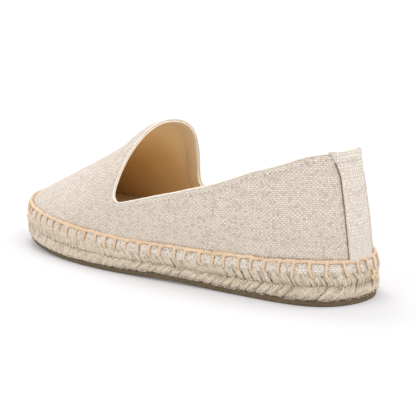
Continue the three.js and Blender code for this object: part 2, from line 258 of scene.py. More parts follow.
# ---------------------------------------------------------------- smooth noise in numpy
def wave_noise(seed, waves, lo, hi):
    """A smooth random function of 3-D points, in about -1..1, from sines with wavelengths lo..hi."""
    r = np.random.default_rng(seed)
    d = r.normal(size=(waves, 3))
    d /= np.linalg.norm(d, axis=1, keepdims=True)
    k = 2 * PI / np.exp(r.uniform(math.log(lo), math.log(hi), waves))
    ph = r.uniform(0, 2 * PI, waves)

    def f(p):
        a = np.tensordot(np.asarray(p, float), (d * k[:, None]).T, axes=([-1], [0]))
        return np.sin(a + ph).sum(-1) * math.sqrt(2.0 / waves) * 0.7
    return f


# ---------------------------------------------------------------- meshes
def add(name, verts, faces, mat, uv=None, attrs=None, smooth=True, slot=None):
    """A mesh object from points in shoe millimetres. faces is one array of quads or triangles; uv is per vertex."""
    me = bpy.data.meshes.new(name)
    v = place(verts).reshape(-1, 3).astype(np.float32)
    faces = np.asarray(faces, np.int32)
    k = faces.shape[1]
    me.vertices.add(len(v))
    me.vertices.foreach_set("co", v.ravel())
    me.loops.add(faces.size)
    me.loops.foreach_set("vertex_index", faces.ravel())
    me.polygons.add(len(faces))
    me.polygons.foreach_set("loop_start", np.arange(0, faces.size, k, dtype=np.int32))
    me.update(calc_edges=True)
    me.polygons.foreach_set("use_smooth", np.full(len(faces), smooth))
    if uv is not None:
        layer = me.uv_layers.new(name="UVMap")
        layer.data.foreach_set("uv", np.asarray(uv, np.float32)[faces.ravel()].ravel())
    for key, values in (attrs or {}).items():
        a = me.attributes.new(key, "FLOAT", "POINT")
        a.data.foreach_set("value", np.asarray(values, np.float32).ravel())
    me.validate()
    me.materials.append(mat)
    o = bpy.data.objects.new(name, me)
    bpy.context.scene.collection.objects.link(o)
    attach(o, "root")
    return o


def tubes(paths, radius, refs, sides=6, flat=1.0, cap=True, turn=None):
    """Many tubes at once: paths (n, m, 3), radius (n, m) or number, refs (n, m, 3) a direction each section keeps.
    flat below 1 flattens a tube along refs. Returns points, faces and uv (length, angle) in mm."""
    n, m, _ = paths.shape
    tan = np.gradient(paths, axis=1)
    tan /= np.maximum(np.linalg.norm(tan, axis=-1, keepdims=True), 1e-9)
    nor = refs - (refs * tan).sum(-1, keepdims=True) * tan
    nor /= np.maximum(np.linalg.norm(nor, axis=-1, keepdims=True), 1e-9)
    bi = np.cross(tan, nor)
    r = np.broadcast_to(np.asarray(radius, float), (n, m))[..., None, None]
    a = np.arange(sides) * 2 * PI / sides
    ang = a[None, None, :, None] + (0 if turn is None else turn[..., None, None])
    ring = paths[:, :, None] + r * (np.cos(ang) * nor[:, :, None] * flat + np.sin(ang) * bi[:, :, None])
    verts = ring.reshape(-1, 3)
    i, j, k = np.meshgrid(np.arange(n), np.arange(m - 1), np.arange(sides), indexing="ij")
    idx = lambda jj, kk: ((i * m + jj) * sides + kk % sides).ravel()
    faces = np.stack([idx(j, k), idx(j, k + 1), idx(j + 1, k + 1), idx(j + 1, k)], 1)
    d = np.concatenate([np.zeros((n, 1)), np.cumsum(np.linalg.norm(np.diff(paths, axis=1), axis=-1), 1)], 1)
    off = np.arange(n)[:, None] * 7.31
    uv = np.stack([np.broadcast_to((d + off)[..., None], (n, m, sides)),
                   np.broadcast_to(a * r[..., 0], (n, m, sides))], -1).reshape(-1, 2)
    if cap and sides >= 4:
        ends = []
        for j0, flip in ((0, True), (m - 1, False)):
            for k0 in range(1, sides - 2, 2):
                q = [(np.arange(n) * m + j0) * sides + x for x in (0, k0, k0 + 1, k0 + 2)]
                ends.append(np.stack(q[::-1] if flip else q, 1))
        faces = np.concatenate([faces, *ends])
    return verts, faces, uv


def join_parts(parts):
    vs, fs, us, base = [], [], [], 0
    for v, f, u in parts:
        vs.append(v)
        fs.append(f + base)
        us.append(u)
        base += len(v)
    return np.concatenate(vs), np.concatenate(fs), np.concatenate(us)


# ---------------------------------------------------------------- node helpers
class Nodes:
    def __init__(self, name):
        self.mat = bpy.data.materials.new(name)
        self.mat.use_nodes = True
        self.t = self.mat.node_tree
        self.t.nodes.clear()
        self.out = self.t.nodes.new("ShaderNodeOutputMaterial")
        self.bsdf = self.t.nodes.new("ShaderNodeBsdfPrincipled")
        self.t.links.new(self.bsdf.outputs[0], self.out.inputs["Surface"])

    def link(self, a, b):
        self.t.links.new(a, b)

    def put(self, node, key, value):
        if isinstance(value, bpy.types.NodeSocket):
            self.link(value, node.inputs[key])
        elif value is not None:
            node.inputs[key].default_value = value

    def math(self, op, a, b=None, c=None, clamp=False):
        n = self.t.nodes.new("ShaderNodeMath")
        n.operation = op
        n.use_clamp = clamp
        for i, x in enumerate((a, b, c)):
            self.put(n, i, x)
        return n.outputs[0]

    def mix(self, f, a, b, mode="MIX"):
        n = self.t.nodes.new("ShaderNodeMix")
        n.data_type = "RGBA"
        n.blend_type = mode
        self.put(n, 0, f)
        self.put(n, 6, a if isinstance(a, bpy.types.NodeSocket) else (*a, 1))
        self.put(n, 7, b if isinstance(b, bpy.types.NodeSocket) else (*b, 1))
        return n.outputs[2]

    def ramp(self, f, stops):
        n = self.t.nodes.new("ShaderNodeValToRGB")
        e = n.color_ramp.elements
        while len(e) < len(stops):
            e.new(0.5)
        for x, (p, c) in zip(e, stops):
            x.position = p
            x.color = (c, c, c, 1) if isinstance(c, (int, float)) else (*c, 1)
        self.put(n, 0, f)
        return n.outputs[0]

    def noise(self, vec, scale, detail=2.0, rough=0.5, dist=0.0):
        n = self.t.nodes.new("ShaderNodeTexNoise")
        self.put(n, "Vector", vec)
        n.inputs["Scale"].default_value = scale
        n.inputs["Detail"].default_value = detail
        n.inputs["Roughness"].default_value = rough
        n.inputs["Distortion"].default_value = dist
        return n.outputs[0]

    def combine(self, x, y, z=0.0):
        n = self.t.nodes.new("ShaderNodeCombineXYZ")
        for i, v in enumerate((x, y, z)):
            self.put(n, i, v)
        return n.outputs[0]

    def split(self, vec):
        n = self.t.nodes.new("ShaderNodeSeparateXYZ")
        self.put(n, 0, vec)
        return n.outputs[0], n.outputs[1], n.outputs[2]

    def uv(self):
        n = self.t.nodes.new("ShaderNodeUVMap")
        n.uv_map = "UVMap"
        return n.outputs[0]

    def coord(self):
        return self.t.nodes.new("ShaderNodeTexCoord").outputs["Object"]

    def attr(self, name):
        n = self.t.nodes.new("ShaderNodeAttribute")
        n.attribute_name = name
        return n.outputs["Fac"]

    def bump(self, height, strength, distance, normal=None):
        n = self.t.nodes.new("ShaderNodeBump")
        n.inputs["Strength"].default_value = strength
        n.inputs["Distance"].default_value = distance
        self.put(n, "Height", height)
        self.put(n, "Normal", normal)
        return n.outputs[0]

    def finish(self, color, rough, normal=None, sheen=0.0, sheen_rough=0.5, spec=0.3):
        self.put(self.bsdf, "Base Color", color if isinstance(color, bpy.types.NodeSocket) else (*color, 1))
        self.put(self.bsdf, "Roughness", rough)
        self.bsdf.inputs["Specular IOR Level"].default_value = spec
        self.bsdf.inputs["Sheen Weight"].default_value = sheen
        self.bsdf.inputs["Sheen Roughness"].default_value = sheen_rough
        if normal is not None:
            self.put(self.bsdf, "Normal", normal)
        return self.mat


def weave(n, pitch, seed=0.0, wide=1.0):
    """Plain weave in uv millimetres. Returns height 0..1, the thread's own shade 0..1, flecks along threads 0..1
    a value for each crossing 0..1, and 1 where the thread across lies on top."""
    x, y, _ = n.split(n.uv())
    wob = n.noise(n.combine(n.math("MULTIPLY", x, 0.07), n.math("MULTIPLY", y, 0.07), seed), 1.0, 2.0)
    wob = n.math("MULTIPLY", n.math("SUBTRACT", wob, 0.5), 1.5)
    x = n.math("MULTIPLY", n.math("ADD", x, wob), 1 / (pitch * wide))
    y = n.math("MULTIPLY", n.math("SUBTRACT", y, wob), 1 / pitch)
    fx, fy = n.math("FLOOR", x), n.math("FLOOR", y)
    ux, uy = n.math("SUBTRACT", n.math("SUBTRACT", x, fx), 0.5), n.math("SUBTRACT", n.math("SUBTRACT", y, fy), 0.5)
    over = n.math("SUBTRACT", 1.0, n.math("MULTIPLY", n.math("FLOORED_MODULO", n.math("ADD", fx, fy), 2.0), 2.0))
    rx, ry = n.math("COSINE", n.math("MULTIPLY", ux, PI)), n.math("COSINE", n.math("MULTIPLY", uy, PI))
    warp = n.math("MULTIPLY", n.math("POWER", rx, 0.6), n.math("MULTIPLY_ADD", n.math("MULTIPLY", ry, over), 0.4, 0.6))
    weft = n.math("MULTIPLY", n.math("POWER", ry, 0.6), n.math("MULTIPLY_ADD", n.math("MULTIPLY", rx, over), -0.4, 0.6))
    height = n.math("MAXIMUM", warp, weft)
    which = n.math("GREATER_THAN", warp, weft)
    other = n.math("SUBTRACT", 1.0, which)
    # each thread has its own shade, and slubs along it
    a = n.noise(n.combine(n.math("MULTIPLY", fx, 0.83), n.math("MULTIPLY", y, 0.10), 3.1 + seed), 1.0, 3.0, 0.6)
    b = n.noise(n.combine(n.math("MULTIPLY", x, 0.10), n.math("MULTIPLY", fy, 0.83), 9.7 + seed), 1.0, 3.0, 0.6)
    shade = n.math("ADD", n.math("MULTIPLY", a, which), n.math("MULTIPLY", b, other))

    def white(vec):
        w = n.t.nodes.new("ShaderNodeTexWhiteNoise")
        w.noise_dimensions = "3D"
        n.put(w, "Vector", vec)
        return w.outputs["Value"]
    # flecks run two or three crossings along a thread
    line = n.math("ADD", n.math("MULTIPLY", fx, which), n.math("MULTIPLY", fy, other))
    run = n.math("ADD", n.math("MULTIPLY", fy, which), n.math("MULTIPLY", fx, other))
    step = n.math("FLOOR", n.math("ADD", n.math("MULTIPLY", run, 0.55), n.math("MULTIPLY", white(n.combine(line, 7.0 + seed, which)), 5.0)))
    return height, shade, white(n.combine(line, step, n.math("ADD", which, 3.0 + seed))), white(n.combine(fx, fy, which)), which


def canvas_material(name, tone=(1, 1, 1), band=False, seed=0.0, pitch=0.92, fleck=1.0, wide=1.36, contrast=1.0):
    n = Nodes(name)
    height, shade, run, cell, which = weave(n, pitch, seed, wide)
    c = lambda r, g, b: (r * tone[0], g * tone[1], b * tone[2])
    base = n.ramp(shade, [(0.28, c(0.70, 0.615, 0.52)), (0.44, c(0.82, 0.745, 0.655)), (0.56, c(0.91, 0.845, 0.765)), (0.72, c(0.98, 0.935, 0.875))])
    # brown, tan and grey flecks along the threads, and a few bright slubs
    brown = n.math("MULTIPLY", n.math("GREATER_THAN", run, 0.93), 0.50 * fleck)
    base = n.mix(brown, base, c(0.46, 0.35, 0.24))
    grey = n.math("MULTIPLY", n.math("LESS_THAN", run, 0.05), 0.50 * fleck)
    base = n.mix(grey, base, c(0.36, 0.33, 0.30))
    white = n.math("MULTIPLY", n.math("COMPARE", run, 0.5, 0.10), 0.65)
    base = n.mix(white, base, c(0.97, 0.94, 0.90))
    dot = n.math("MULTIPLY", n.math("GREATER_THAN", cell, 0.93), 0.45 * fleck)
    base = n.mix(dot, base, c(0.35, 0.28, 0.21))
    # one set of threads is a little darker than the other, and the gaps between them are darkened with painted shade
    base = n.mix(n.math("MULTIPLY", which, min(1.0, 0.43 * contrast)), base, c(0.56, 0.475, 0.385))
    gap = n.math("SUBTRACT", 1.0, height, clamp=True)
    gap = n.math("MULTIPLY", n.math("POWER", gap, 1.05), 0.82 * contrast, clamp=True)
    base = n.mix(gap, base, c(0.44, 0.355, 0.27))
    # slow drifts of tone, and patchy darkening towards the bottom
    p = n.coord()
    slow = n.noise(p, 16.0, 3.0, 0.55)
    base = n.mix(n.ramp(slow, [(0.35, 0.16), (0.65, 0.0)]), base, c(0.64, 0.57, 0.48))
    mottle = n.noise(p, 190.0, 2.0, 0.5)
    base = n.mix(n.ramp(mottle, [(0.36, 0.16), (0.5, 0.0)]), base, c(0.56, 0.49, 0.41))
    if not band:
        low = n.attr("low")
        low_dark_patches = n.math("MULTIPLY", n.ramp(low, [(0.0, 0.26), (0.40, 0.05), (1.0, 0.0)]), n.noise(p, 120.0, 3.0))
        base = n.mix(low_dark_patches, base, c(0.52, 0.44, 0.33))
    fuzz = n.noise(p, 5200.0, 2.0)
    h = n.math("ADD", height, n.math("MULTIPLY", fuzz, 0.5))
    return n.finish(base, n.ramp(shade, [(0.3, 0.95), (0.7, 0.84)]), n.bump(h, 0.85, 0.00028), sheen=0.12, sheen_rough=0.6, spec=0.18)


def jute_material(name, dark=1.0, seed=0.0):
    n = Nodes(name)
    x, y, _ = n.split(n.uv())
    p = n.coord()
    lay = n.math("ADD", y, n.math("MULTIPLY", x, 0.35))
    fib = n.noise(n.combine(n.math("MULTIPLY", x, 0.45), n.math("MULTIPLY", lay, 5.0), seed), 1.0, 4.0, 0.7)
    big = n.noise(p, 70.0, 3.0, 0.6)
    px, py, pz = n.split(p)
    d = lambda r, g, b: (r * dark, g * dark, b * dark)
    col = n.ramp(fib, [(0.30, d(0.40, 0.305, 0.205)), (0.42, d(0.655, 0.55, 0.415)), (0.54, d(0.81, 0.705, 0.56)), (0.70, d(0.97, 0.875, 0.735))])
    col = n.mix(n.ramp(big, [(0.35, 0.28), (0.6, 0.0)]), col, d(0.56, 0.46, 0.33))
    pale = n.math("MULTIPLY", n.math("SUBTRACT", -0.02, py), 9.0, clamp=True)
    col = n.mix(n.math("MULTIPLY", pale, 0.38), col, d(0.86, 0.78, 0.665))
    mott = n.noise(p, 420.0, 3.0, 0.6)
    col = n.mix(n.ramp(mott, [(0.34, 0.50), (0.48, 0.0)]), col, d(0.50, 0.40, 0.28))
    speck = n.noise(p, 620.0, 1.0)
    col = n.mix(n.ramp(speck, [(0.70, 0.0), (0.74, 0.7)]), col, (0.24, 0.15, 0.07))
    h = n.math("ADD", fib, n.math("MULTIPLY", mott, 0.8))
    return n.finish(col, 0.93, n.bump(h, 1.0, 0.00038), sheen=0.15, spec=0.15)


def thread_material(name, light, mid, deep, far=None):
    n = Nodes(name)
    x, y, _ = n.split(n.uv())
    fib = n.noise(n.combine(n.math("MULTIPLY", x, 0.8), n.math("MULTIPLY", n.math("ADD", y, n.math("MULTIPLY", x, 0.9)), 4.0), 2.0), 1.0, 3.0, 0.6)
    col = n.ramp(fib, [(0.30, deep), (0.48, mid), (0.68, light)])
    slow = n.noise(n.coord(), 90.0, 2.0)
    col = n.mix(n.ramp(slow, [(0.4, 0.35), (0.62, 0.0)]), col, deep)
    # painted shade: the cord round the inner side of the toe is darkened in its colour
    if far:  # the thread is darker round the inner side of the toe
        px, py, _ = n.split(n.coord())
        a = n.math("MULTIPLY", n.math("SUBTRACT", -0.004, px), 90.0, clamp=True)
        b = n.math("MULTIPLY", n.math("SUBTRACT", -0.085, py), 45.0, clamp=True)
        col = n.mix(n.math("MULTIPLY", n.math("MULTIPLY", a, b), 0.75), col, far)
    return n.finish(col, 0.85, n.bump(fib, 0.7, 0.00018), sheen=0.2, spec=0.2)


def lining_material(name):
    n = Nodes(name)
    p = n.coord()
    grain = n.noise(p, 1500.0, 3.0, 0.6)
    slow = n.noise(p, 38.0, 3.0, 0.5)
    col = n.ramp(slow, [(0.3, (0.85, 0.63, 0.315)), (0.52, (0.89, 0.68, 0.365)), (0.75, (0.92, 0.73, 0.425))])
    # painted light: the lining is paler towards the edge, where light comes in; a sewn facing with soft upright folds
    # on the inner side of the throat, their troughs darkened with painted shade
    rim, facing = n.attr("rim"), n.attr("facing")
    near = n.ramp(n.math("DIVIDE", rim, 24.0), [(0.0, 0.75), (0.25, 0.45), (0.9, 0.0)])
    col = n.mix(near, col, (0.84, 0.80, 0.67))
    x, y, _ = n.split(n.uv())
    # painted shade along the facing's soft folds
    folds = n.noise(n.combine(n.math("MULTIPLY", rim, 0.55), n.math("MULTIPLY", y, 0.05), 1.0), 1.0, 2.0)
    col = n.mix(n.math("MULTIPLY", n.ramp(folds, [(0.36, 0.10), (0.50, 0.0)]), facing), col, (0.62, 0.46, 0.28))
    seam = n.ramp(n.math("DIVIDE", rim, 20.0), [(0.37, 0.0), (0.395, 0.5), (0.42, 0.0)])
    col = n.mix(n.math("MULTIPLY", seam, facing), col, (0.42, 0.27, 0.12))
    col = n.mix(n.math("MULTIPLY", n.ramp(grain, [(0.4, 1.0), (0.6, 0.0)]), 0.15), col, (0.5, 0.33, 0.16))
    return n.finish(col, n.ramp(slow, [(0.3, 0.62), (0.7, 0.5)]), n.bump(grain, 0.25, 0.00012), spec=0.35)


def rubber_material(name):
    n = Nodes(name)
    p = n.coord()
    x, y, z = n.split(p)
    fine = n.noise(p, 900.0, 4.0, 0.65)
    slow = n.noise(p, 55.0, 3.0)
    col = n.ramp(fine, [(0.3, (0.082, 0.056, 0.028)), (0.55, (0.145, 0.102, 0.055)), (0.75, (0.25, 0.19, 0.115))])
    col = n.mix(n.ramp(slow, [(0.4, 0.5), (0.62, 0.0)]), col, (0.10, 0.07, 0.038))
    return n.finish(col, n.ramp(fine, [(0.3, 0.62), (0.7, 0.85)]), n.bump(fine, 0.5, 0.00035), spec=0.35)


M_CANVAS = canvas_material("canvas", tone=(0.915, 0.905, 0.90), contrast=1.18)
M_STRIP = canvas_material("strip_canvas", tone=(0.99, 1.0, 1.015), seed=4.0, fleck=0.6, pitch=1.12, wide=1.0, contrast=1.15)
M_BAND = canvas_material("band_canvas", tone=(0.95, 0.95, 0.95), band=True, seed=8.0, pitch=0.92, fleck=1.7, wide=1.0)
M_JUTE = jute_material("jute")
# painted shade: the jute behind the plait is a darkened copy of the jute
M_CORE = jute_material("jute_core", dark=0.52, seed=3.0)
M_FIBRE = jute_material("jute_fibre", dark=1.12, seed=5.0)
# far: the painted-shade colour for the cord round the inner side of the toe
M_THREAD = thread_material("stitch_thread", (0.84, 0.70, 0.54), (0.78, 0.59, 0.405), (0.60, 0.385, 0.22), far=(0.62, 0.36, 0.17))
M_TAIL = thread_material("thread_end", (0.88, 0.76, 0.55), (0.80, 0.66, 0.43), (0.62, 0.46, 0.26))
M_LINING = lining_material("lining")
M_RUBBER = rubber_material("rubber")


def plain_cloth(name, color, dark, pitch=0.5):
    n = Nodes(name)
    height, shade, run, cell, _ = weave(n, pitch, 2.0)
    col = n.mix(n.ramp(shade, [(0.35, 0.6), (0.65, 0.0)]), color, dark)
    # painted shade in the gaps between the threads
    col = n.mix(n.math("MULTIPLY", n.math("SUBTRACT", 1.0, height, clamp=True), 0.35), col, dark)
    return n.finish(col, 0.85, n.bump(height, 0.5, 0.00015), sheen=0.1, spec=0.2)


M_BINDING = plain_cloth("binding", (0.97, 0.93, 0.84), (0.84, 0.76, 0.62))
# painted shade: dark discs that stand for the shade in the needle holes
M_HOLE = plain_cloth("needle_hole", (0.36, 0.30, 0.235), (0.20, 0.16, 0.12))
M_SEAM = plain_cloth("seam_thread", (0.86, 0.80, 0.71), (0.60, 0.52, 0.42))
# painted shade: a tan colour for the shaded gap between the canvas fold and the binding
M_GAP_SHADE = plain_cloth("gap_shade_tan", (0.76, 0.62, 0.45), (0.56, 0.42, 0.28))
# painted highlight: the fold's cloth is lighter than the canvas, for the light caught on its top
M_FOLD_HIGHLIGHT = plain_cloth("fold_cloth_painted_highlight", (0.90, 0.84, 0.755), (0.68, 0.60, 0.50))
M_DARK = plain_cloth("seam_shadow", (0.30, 0.215, 0.13), (0.16, 0.11, 0.06))
M_SOCK = plain_cloth("sock", (0.70, 0.43, 0.17), (0.52, 0.31, 0.12), pitch=0.8)

# ---------------------------------------------------------------- the upper
HEEL_COLS, VAMP_COLS, WALL_ROWS, VAMP_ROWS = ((150, 110, 30, 46))
_hc = -((1 - np.arange(HEEL_COLS) / HEEL_COLS) ** 1.25)
WS = np.concatenate([_hc, np.arange(VAMP_COLS + 1) / VAMP_COLS])
C0 = HEEL_COLS  # the column at the throat's corner
broad = wave_noise(3, 26, 34, 90)
ripple = wave_noise(5, 40, 7, 20)


def foot_arc(phi):
    return np.interp(np.mod(phi, 2 * PI), _phi, _arc)


def dents(side, w, v, p, rim):
    """How far the canvas stands out from the last, in mm."""
    phi, _, left = column(side, w)
    arc = foot_arc(phi)
    up = p[..., 2] - cord_z(station(phi))
    d = 0.28 * broad(p) + 0.10 * ripple(p)
    # pulled in a little by each stitch, just over the cord
    d = d + 0.22 * np.cos(2 * PI * (arc - STITCH_0) / STITCH + PI) * np.exp(-np.maximum(up, 0) / 2.2)
    d = d - 0.45 * np.exp(-((up - 0.4) / 1.0) ** 2)
    # hem: a soft roll at the edge, and a groove where it is stitched down
    d = d + 0.14 * np.exp(-((rim - 2.3) / 1.6) ** 2) - 0.20 * np.exp(-((rim - 5.0) / 0.8) ** 2)
    # a soft hollow under the throat's corner, running forward and down
    if side > 0:
        q = ((left - 141) * 0.83 + (p[..., 2] - 33) * 0.55) / 17
        r = (-(left - 141) * 0.55 + (p[..., 2] - 33) * 0.83) / 7.5
        d = d - 0.75 * np.exp(-q * q - r * r)
    else:
        q, r = (left - 140) / 18, (p[..., 2] - 35) / 9
        d = d - 0.6 * np.exp(-q * q - r * r)
    # flex folds: two shallow troughs across the vamp, over the toes
    for at, lean, deep, wide in ((176, 0.10, 0.34, 3.6), (190, -0.06, 0.24, 3.0)):
        x = p[..., 0] - at - lean * (p[..., 1] - midline(p[..., 0]))
        d = d - deep * np.exp(-(x / wide) ** 2) * ease((p[..., 2] - 32) / 10)
    return d


def upper_columns(side):
    """w and v of every row of every column, with the distance of each from the free edge."""
    tops = reach(side, np.minimum(WS, 0), collar_z(side, np.minimum(WS, 0)))
    low = tops[:, None] * (np.arange(WALL_ROWS + 1) / WALL_ROWS) ** 0.9
    r = np.arange(1, VAMP_ROWS + 1) / VAMP_ROWS
    high = tops[C0] + (1 - tops[C0]) * r
    return tops, low, high


def rim_line():
    """The free edge as one closed line: (side, w, v) from the heel along the left side, round the throat and back."""
    seq = []
    for side in (1, -1):
        tops, low, high = upper_columns(side)
        part = [(side, w, t) for w, t in zip(WS[:C0 + 1], tops[:C0 + 1])] + [(side, 0.0, v) for v in high]
        seq.append(part)
    return seq[0] + seq[1][::-1][1:-1]


RIM = rim_line()
RIM_P = np.array([outer(a, b, c) for a, b, c in RIM])
RIM_N = np.array([outward(a, b, c) for a, b, c in RIM])


RIDGE_AT = np.linspace(110, 250, 281)
RIDGE_RUN = np.concatenate([[0], np.cumsum(np.hypot(0.5, np.diff(ridge_z(RIDGE_AT))))])


def rim_distance(p):
    q = p.reshape(-1, 3)
    out = np.empty(len(q))
    for i in range(0, len(q), 4000):
        d = q[i:i + 4000, None] - RIM_P[None]
        out[i:i + 4000] = np.sqrt((d * d).sum(-1).min(1))
    return out.reshape(p.shape[:-1])


def shell(layers):
    """Closed shell of the upper. layers gives for each of two faces: (function of side, w, v, p, rim -> offset along the normal).
    Returns points, faces, uv, low, rim, facing."""
    pts, uvs, lows, rims, facings, faces = [], [], [], [], [], []
    index, count = {}, 0
    for side in (1, -1):
        tops, low, high = upper_columns(side)
        W1 = np.repeat(WS[:, None], WALL_ROWS + 1, 1)
        W2 = np.repeat(WS[C0:, None], VAMP_ROWS, 1)
        V2 = np.repeat(high[None], len(WS) - C0, 0)
        for key, W, V in (("a", W1, low), ("b", W2, V2)):
            P = outer(side, W, V)
            N = outward(side, W, V)
            R = rim_distance(P)
            phi = column(side, W)[0]
            L = np.clip((P[..., 2] - cord_z(station(phi))) / 60, 0, 1)
            arc = np.zeros(W.shape)
            index[side, key, "P"] = P
            index[side, key, "phi"] = phi
            for f, fn in enumerate(layers):
                Q = P + N * fn(side, W, V, P, R)[..., None]
                ids = count + np.arange(W.size).reshape(W.shape)
                count += W.size
                index[side, key, f] = ids
                pts.append(Q.reshape(-1, 3))
                lows.append(L.ravel())
                rims.append(R.ravel())
                facings.append((ease((P[..., 0] - 122) / 12) * ease((68 - P[..., 2]) / 14) * (side < 0)).ravel())
        # weave coordinates: the vamp is opened out flat from its ridge, the wall goes on from the throat's column
        P, B = index[side, "a", "P"], index[side, "b", "P"]
        full = np.concatenate([P[C0:], B], 1)
        U = np.concatenate([np.zeros((len(full), 1)), np.cumsum(np.linalg.norm(np.diff(full, axis=1), axis=-1), 1)], 1)
        crest = full[:, -1]
        away = full[:, 0, :2] - crest[:, :2]
        away /= np.linalg.norm(away, axis=1, keepdims=True)
        L = U[:, -1:] - U
        grow = np.interp(crest[:, 0], RIDGE_AT, RIDGE_RUN)
        vamp_uv = np.stack([grow[:, None] + L * away[:, :1], crest[:, 1:2] + L * away[:, 1:]], -1)
        Uw = np.concatenate([np.zeros((C0, 1)), np.cumsum(np.linalg.norm(np.diff(P[:C0], axis=1), axis=-1), 1)], 1)
        phi, _, left = column(side, WS[:C0])
        arc = foot_arc(phi) if side > 0 else ROUND - foot_arc(phi)
        phi0 = column(side, np.array(0.0))[0]
        arc0 = float(foot_arc(phi0) if side > 0 else ROUND - foot_arc(phi0))
        u0, v0 = np.interp(Uw, U[0], vamp_uv[0, :, 0]), np.interp(Uw, U[0], vamp_uv[0, :, 1])
        fade = np.clip((left - 60) / 77, 0, 1)[:, None]
        foot_u = vamp_uv[0, 0, 0]
        wall_uv = np.stack([foot_u + (u0 - foot_u) * fade - (arc0 - arc)[:, None], v0], -1)
        k = WALL_ROWS + 1
        for uv in (np.concatenate([wall_uv, vamp_uv[:, :k]]), vamp_uv[:, k:]):
            for _ in layers:
                uvs.append(uv.reshape(-1, 2))
    # order of uvs matches the order of points: a (layers), b (layers) for each side
    remap = np.arange(count)
    for f in range(2):
        a1, a2 = index[1, "a", f], index[-1, "a", f]
        b1, b2 = index[1, "b", f], index[-1, "b", f]
        remap[a2[0]] = a1[0]
        remap[a2[-1]] = a1[-1]
        remap[b2[-1]] = b1[-1]
        remap[b2[:, -1]] = b1[:, -1]

    def grid(ids, flip):
        a, b, c, d = ids[:-1, :-1], ids[:-1, 1:], ids[1:, 1:], ids[1:, :-1]
        q = np.stack([a, b, c, d] if not flip else [d, c, b, a], -1).reshape(-1, 4)
        faces.append(q)

    for side in (1, -1):
        for f in (0, 1):
            flip = (side < 0) != (f == 1)
            a, b = index[side, "a", f], index[side, "b", f]
            grid(a, flip)
            grid(np.concatenate([a[C0:, -1:], b], 1), flip)
        for strip in (  # the free edge, then the bottom edge
            np.stack([index[side, "a", 0][:C0 + 1, -1], index[side, "a", 1][:C0 + 1, -1]], 1),
        ):
            grid(strip, side < 0)
        col = [np.concatenate([index[side, "a", f][C0, -1:], index[side, "b", f][0]]) for f in (0, 1)]
        grid(np.stack(col, 1), side < 0)
        foot = np.stack([index[side, "a", 1][:, 0], index[side, "a", 0][:, 0]], 1)
        grid(foot, side < 0)
    F = remap[np.concatenate(faces)]
    return np.concatenate(pts), F, np.concatenate(uvs), np.concatenate(lows), np.concatenate(rims), np.concatenate(facings)


def clean(verts, faces, *extra):
    """Drops unused points and faces that have lost an area."""
    used = np.zeros(len(verts), bool)
    good = np.array([len(set(f)) == 4 for f in faces.tolist()])
    faces = faces[good]
    used[faces] = True
    new = np.cumsum(used) - 1
    return (verts[used], new[faces], *[e[used] for e in extra])


def canvas_outer(side, w, v, p, rim):
    return 0.05 + dents(side, w, v, p, rim) - 0.55 * np.exp(-rim / 0.35)


def canvas_inner(side, w, v, p, rim):
    return np.full(w.shape, -0.95) + 0.25 * np.exp(-rim / 0.4) + 0.5 * np.minimum(dents(side, w, v, p, rim), 0)


V, F, UV, LOW, RIMD, FAC = shell((canvas_outer, canvas_inner))
V, F, UV, LOW, RIMD, FAC = clean(V, F, UV, LOW, RIMD, FAC)
upper = add("upper_canvas", V, F, M_CANVAS, UV, {"low": LOW, "rim": RIMD}, slot="canvas")
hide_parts("upper")


def lining_outer(side, w, v, p, rim):
    return np.full(w.shape, -1.05) - 0.25 * np.exp(-rim / 0.5) + 0.5 * np.minimum(dents(side, w, v, p, rim), 0)


def lining_inner(side, w, v, p, rim):
    facing = ease((p[..., 0] - 122) / 12) * ease((68 - p[..., 2]) / 14) * (side < 0)
    step = 0.30 * ease((8.0 - rim) / 0.8) * facing + 0.12 * facing * np.sin(rim * 1.5 + 0.04 * p[..., 2]) * ease((9 - rim) / 3)
    return -WALL - step + 0.30 * np.exp(-rim / 0.5) + 0.5 * np.minimum(dents(side, w, v, p, rim), 0)


V, F, UV, LOW, RIMD, FAC = shell((lining_outer, lining_inner))
V, F, UV, LOW, RIMD, FAC = clean(V, F, UV, LOW, RIMD, FAC)
lining = add("upper_lining", V, F, M_LINING, UV, {"rim": RIMD, "facing": FAC}, slot="sock_lining")

# the free edge: the canvas folds over, its cloth lightened with a painted highlight; a pale binding lies inside it, and
# a thin tan tube between them is painted shade in the gap
tan = np.roll(RIM_P, -1, 0) - np.roll(RIM_P, 1, 0)
tan /= np.linalg.norm(tan, axis=1, keepdims=True)
edge_out = np.cross(RIM_N, tan)
edge_out /= np.linalg.norm(edge_out, axis=1, keepdims=True)
edge_out *= np.sign(edge_out[0, 2])
bn = wave_noise(21, 12, 3, 14)


def round_edge(depth, above, r, sides=10, wave=0.05, flat=0.95):
    line = RIM_P - depth * RIM_N + above * edge_out
    line = np.concatenate([line, line[:1]])
    ref = np.concatenate([RIM_N, RIM_N[:1]])
    return tubes(line[None], (r + wave * bn(line))[None], ref[None], sides=sides, flat=flat, cap=False)


# the fold's cloth is lighter than the canvas: a painted highlight on its top
fold = round_edge(0.42, 0.12, 0.48)
add("collar_fold", fold[0], fold[1], M_FOLD_HIGHLIGHT, fold[2], slot="canvas")
bind = round_edge(1.42, -0.18, 0.42)
binding = add("edge_binding", bind[0], bind[1], M_BINDING, bind[2], slot="canvas_strip")
# painted shade: a thin tan tube stands for the shaded gap between the fold and the binding
line = round_edge(0.98, 0.05, 0.15, sides=6, wave=0.03)
add("edge_gap_shade", line[0], line[1], M_GAP_SHADE, line[2], slot="canvas_strip")

# ---------------------------------------------------------------- the canvas band under the cord
BAND_N = 900
ls = np.arange(BAND_N) * ROUND / BAND_N
fray = wave_noise(31, 30, 2.2, 7)


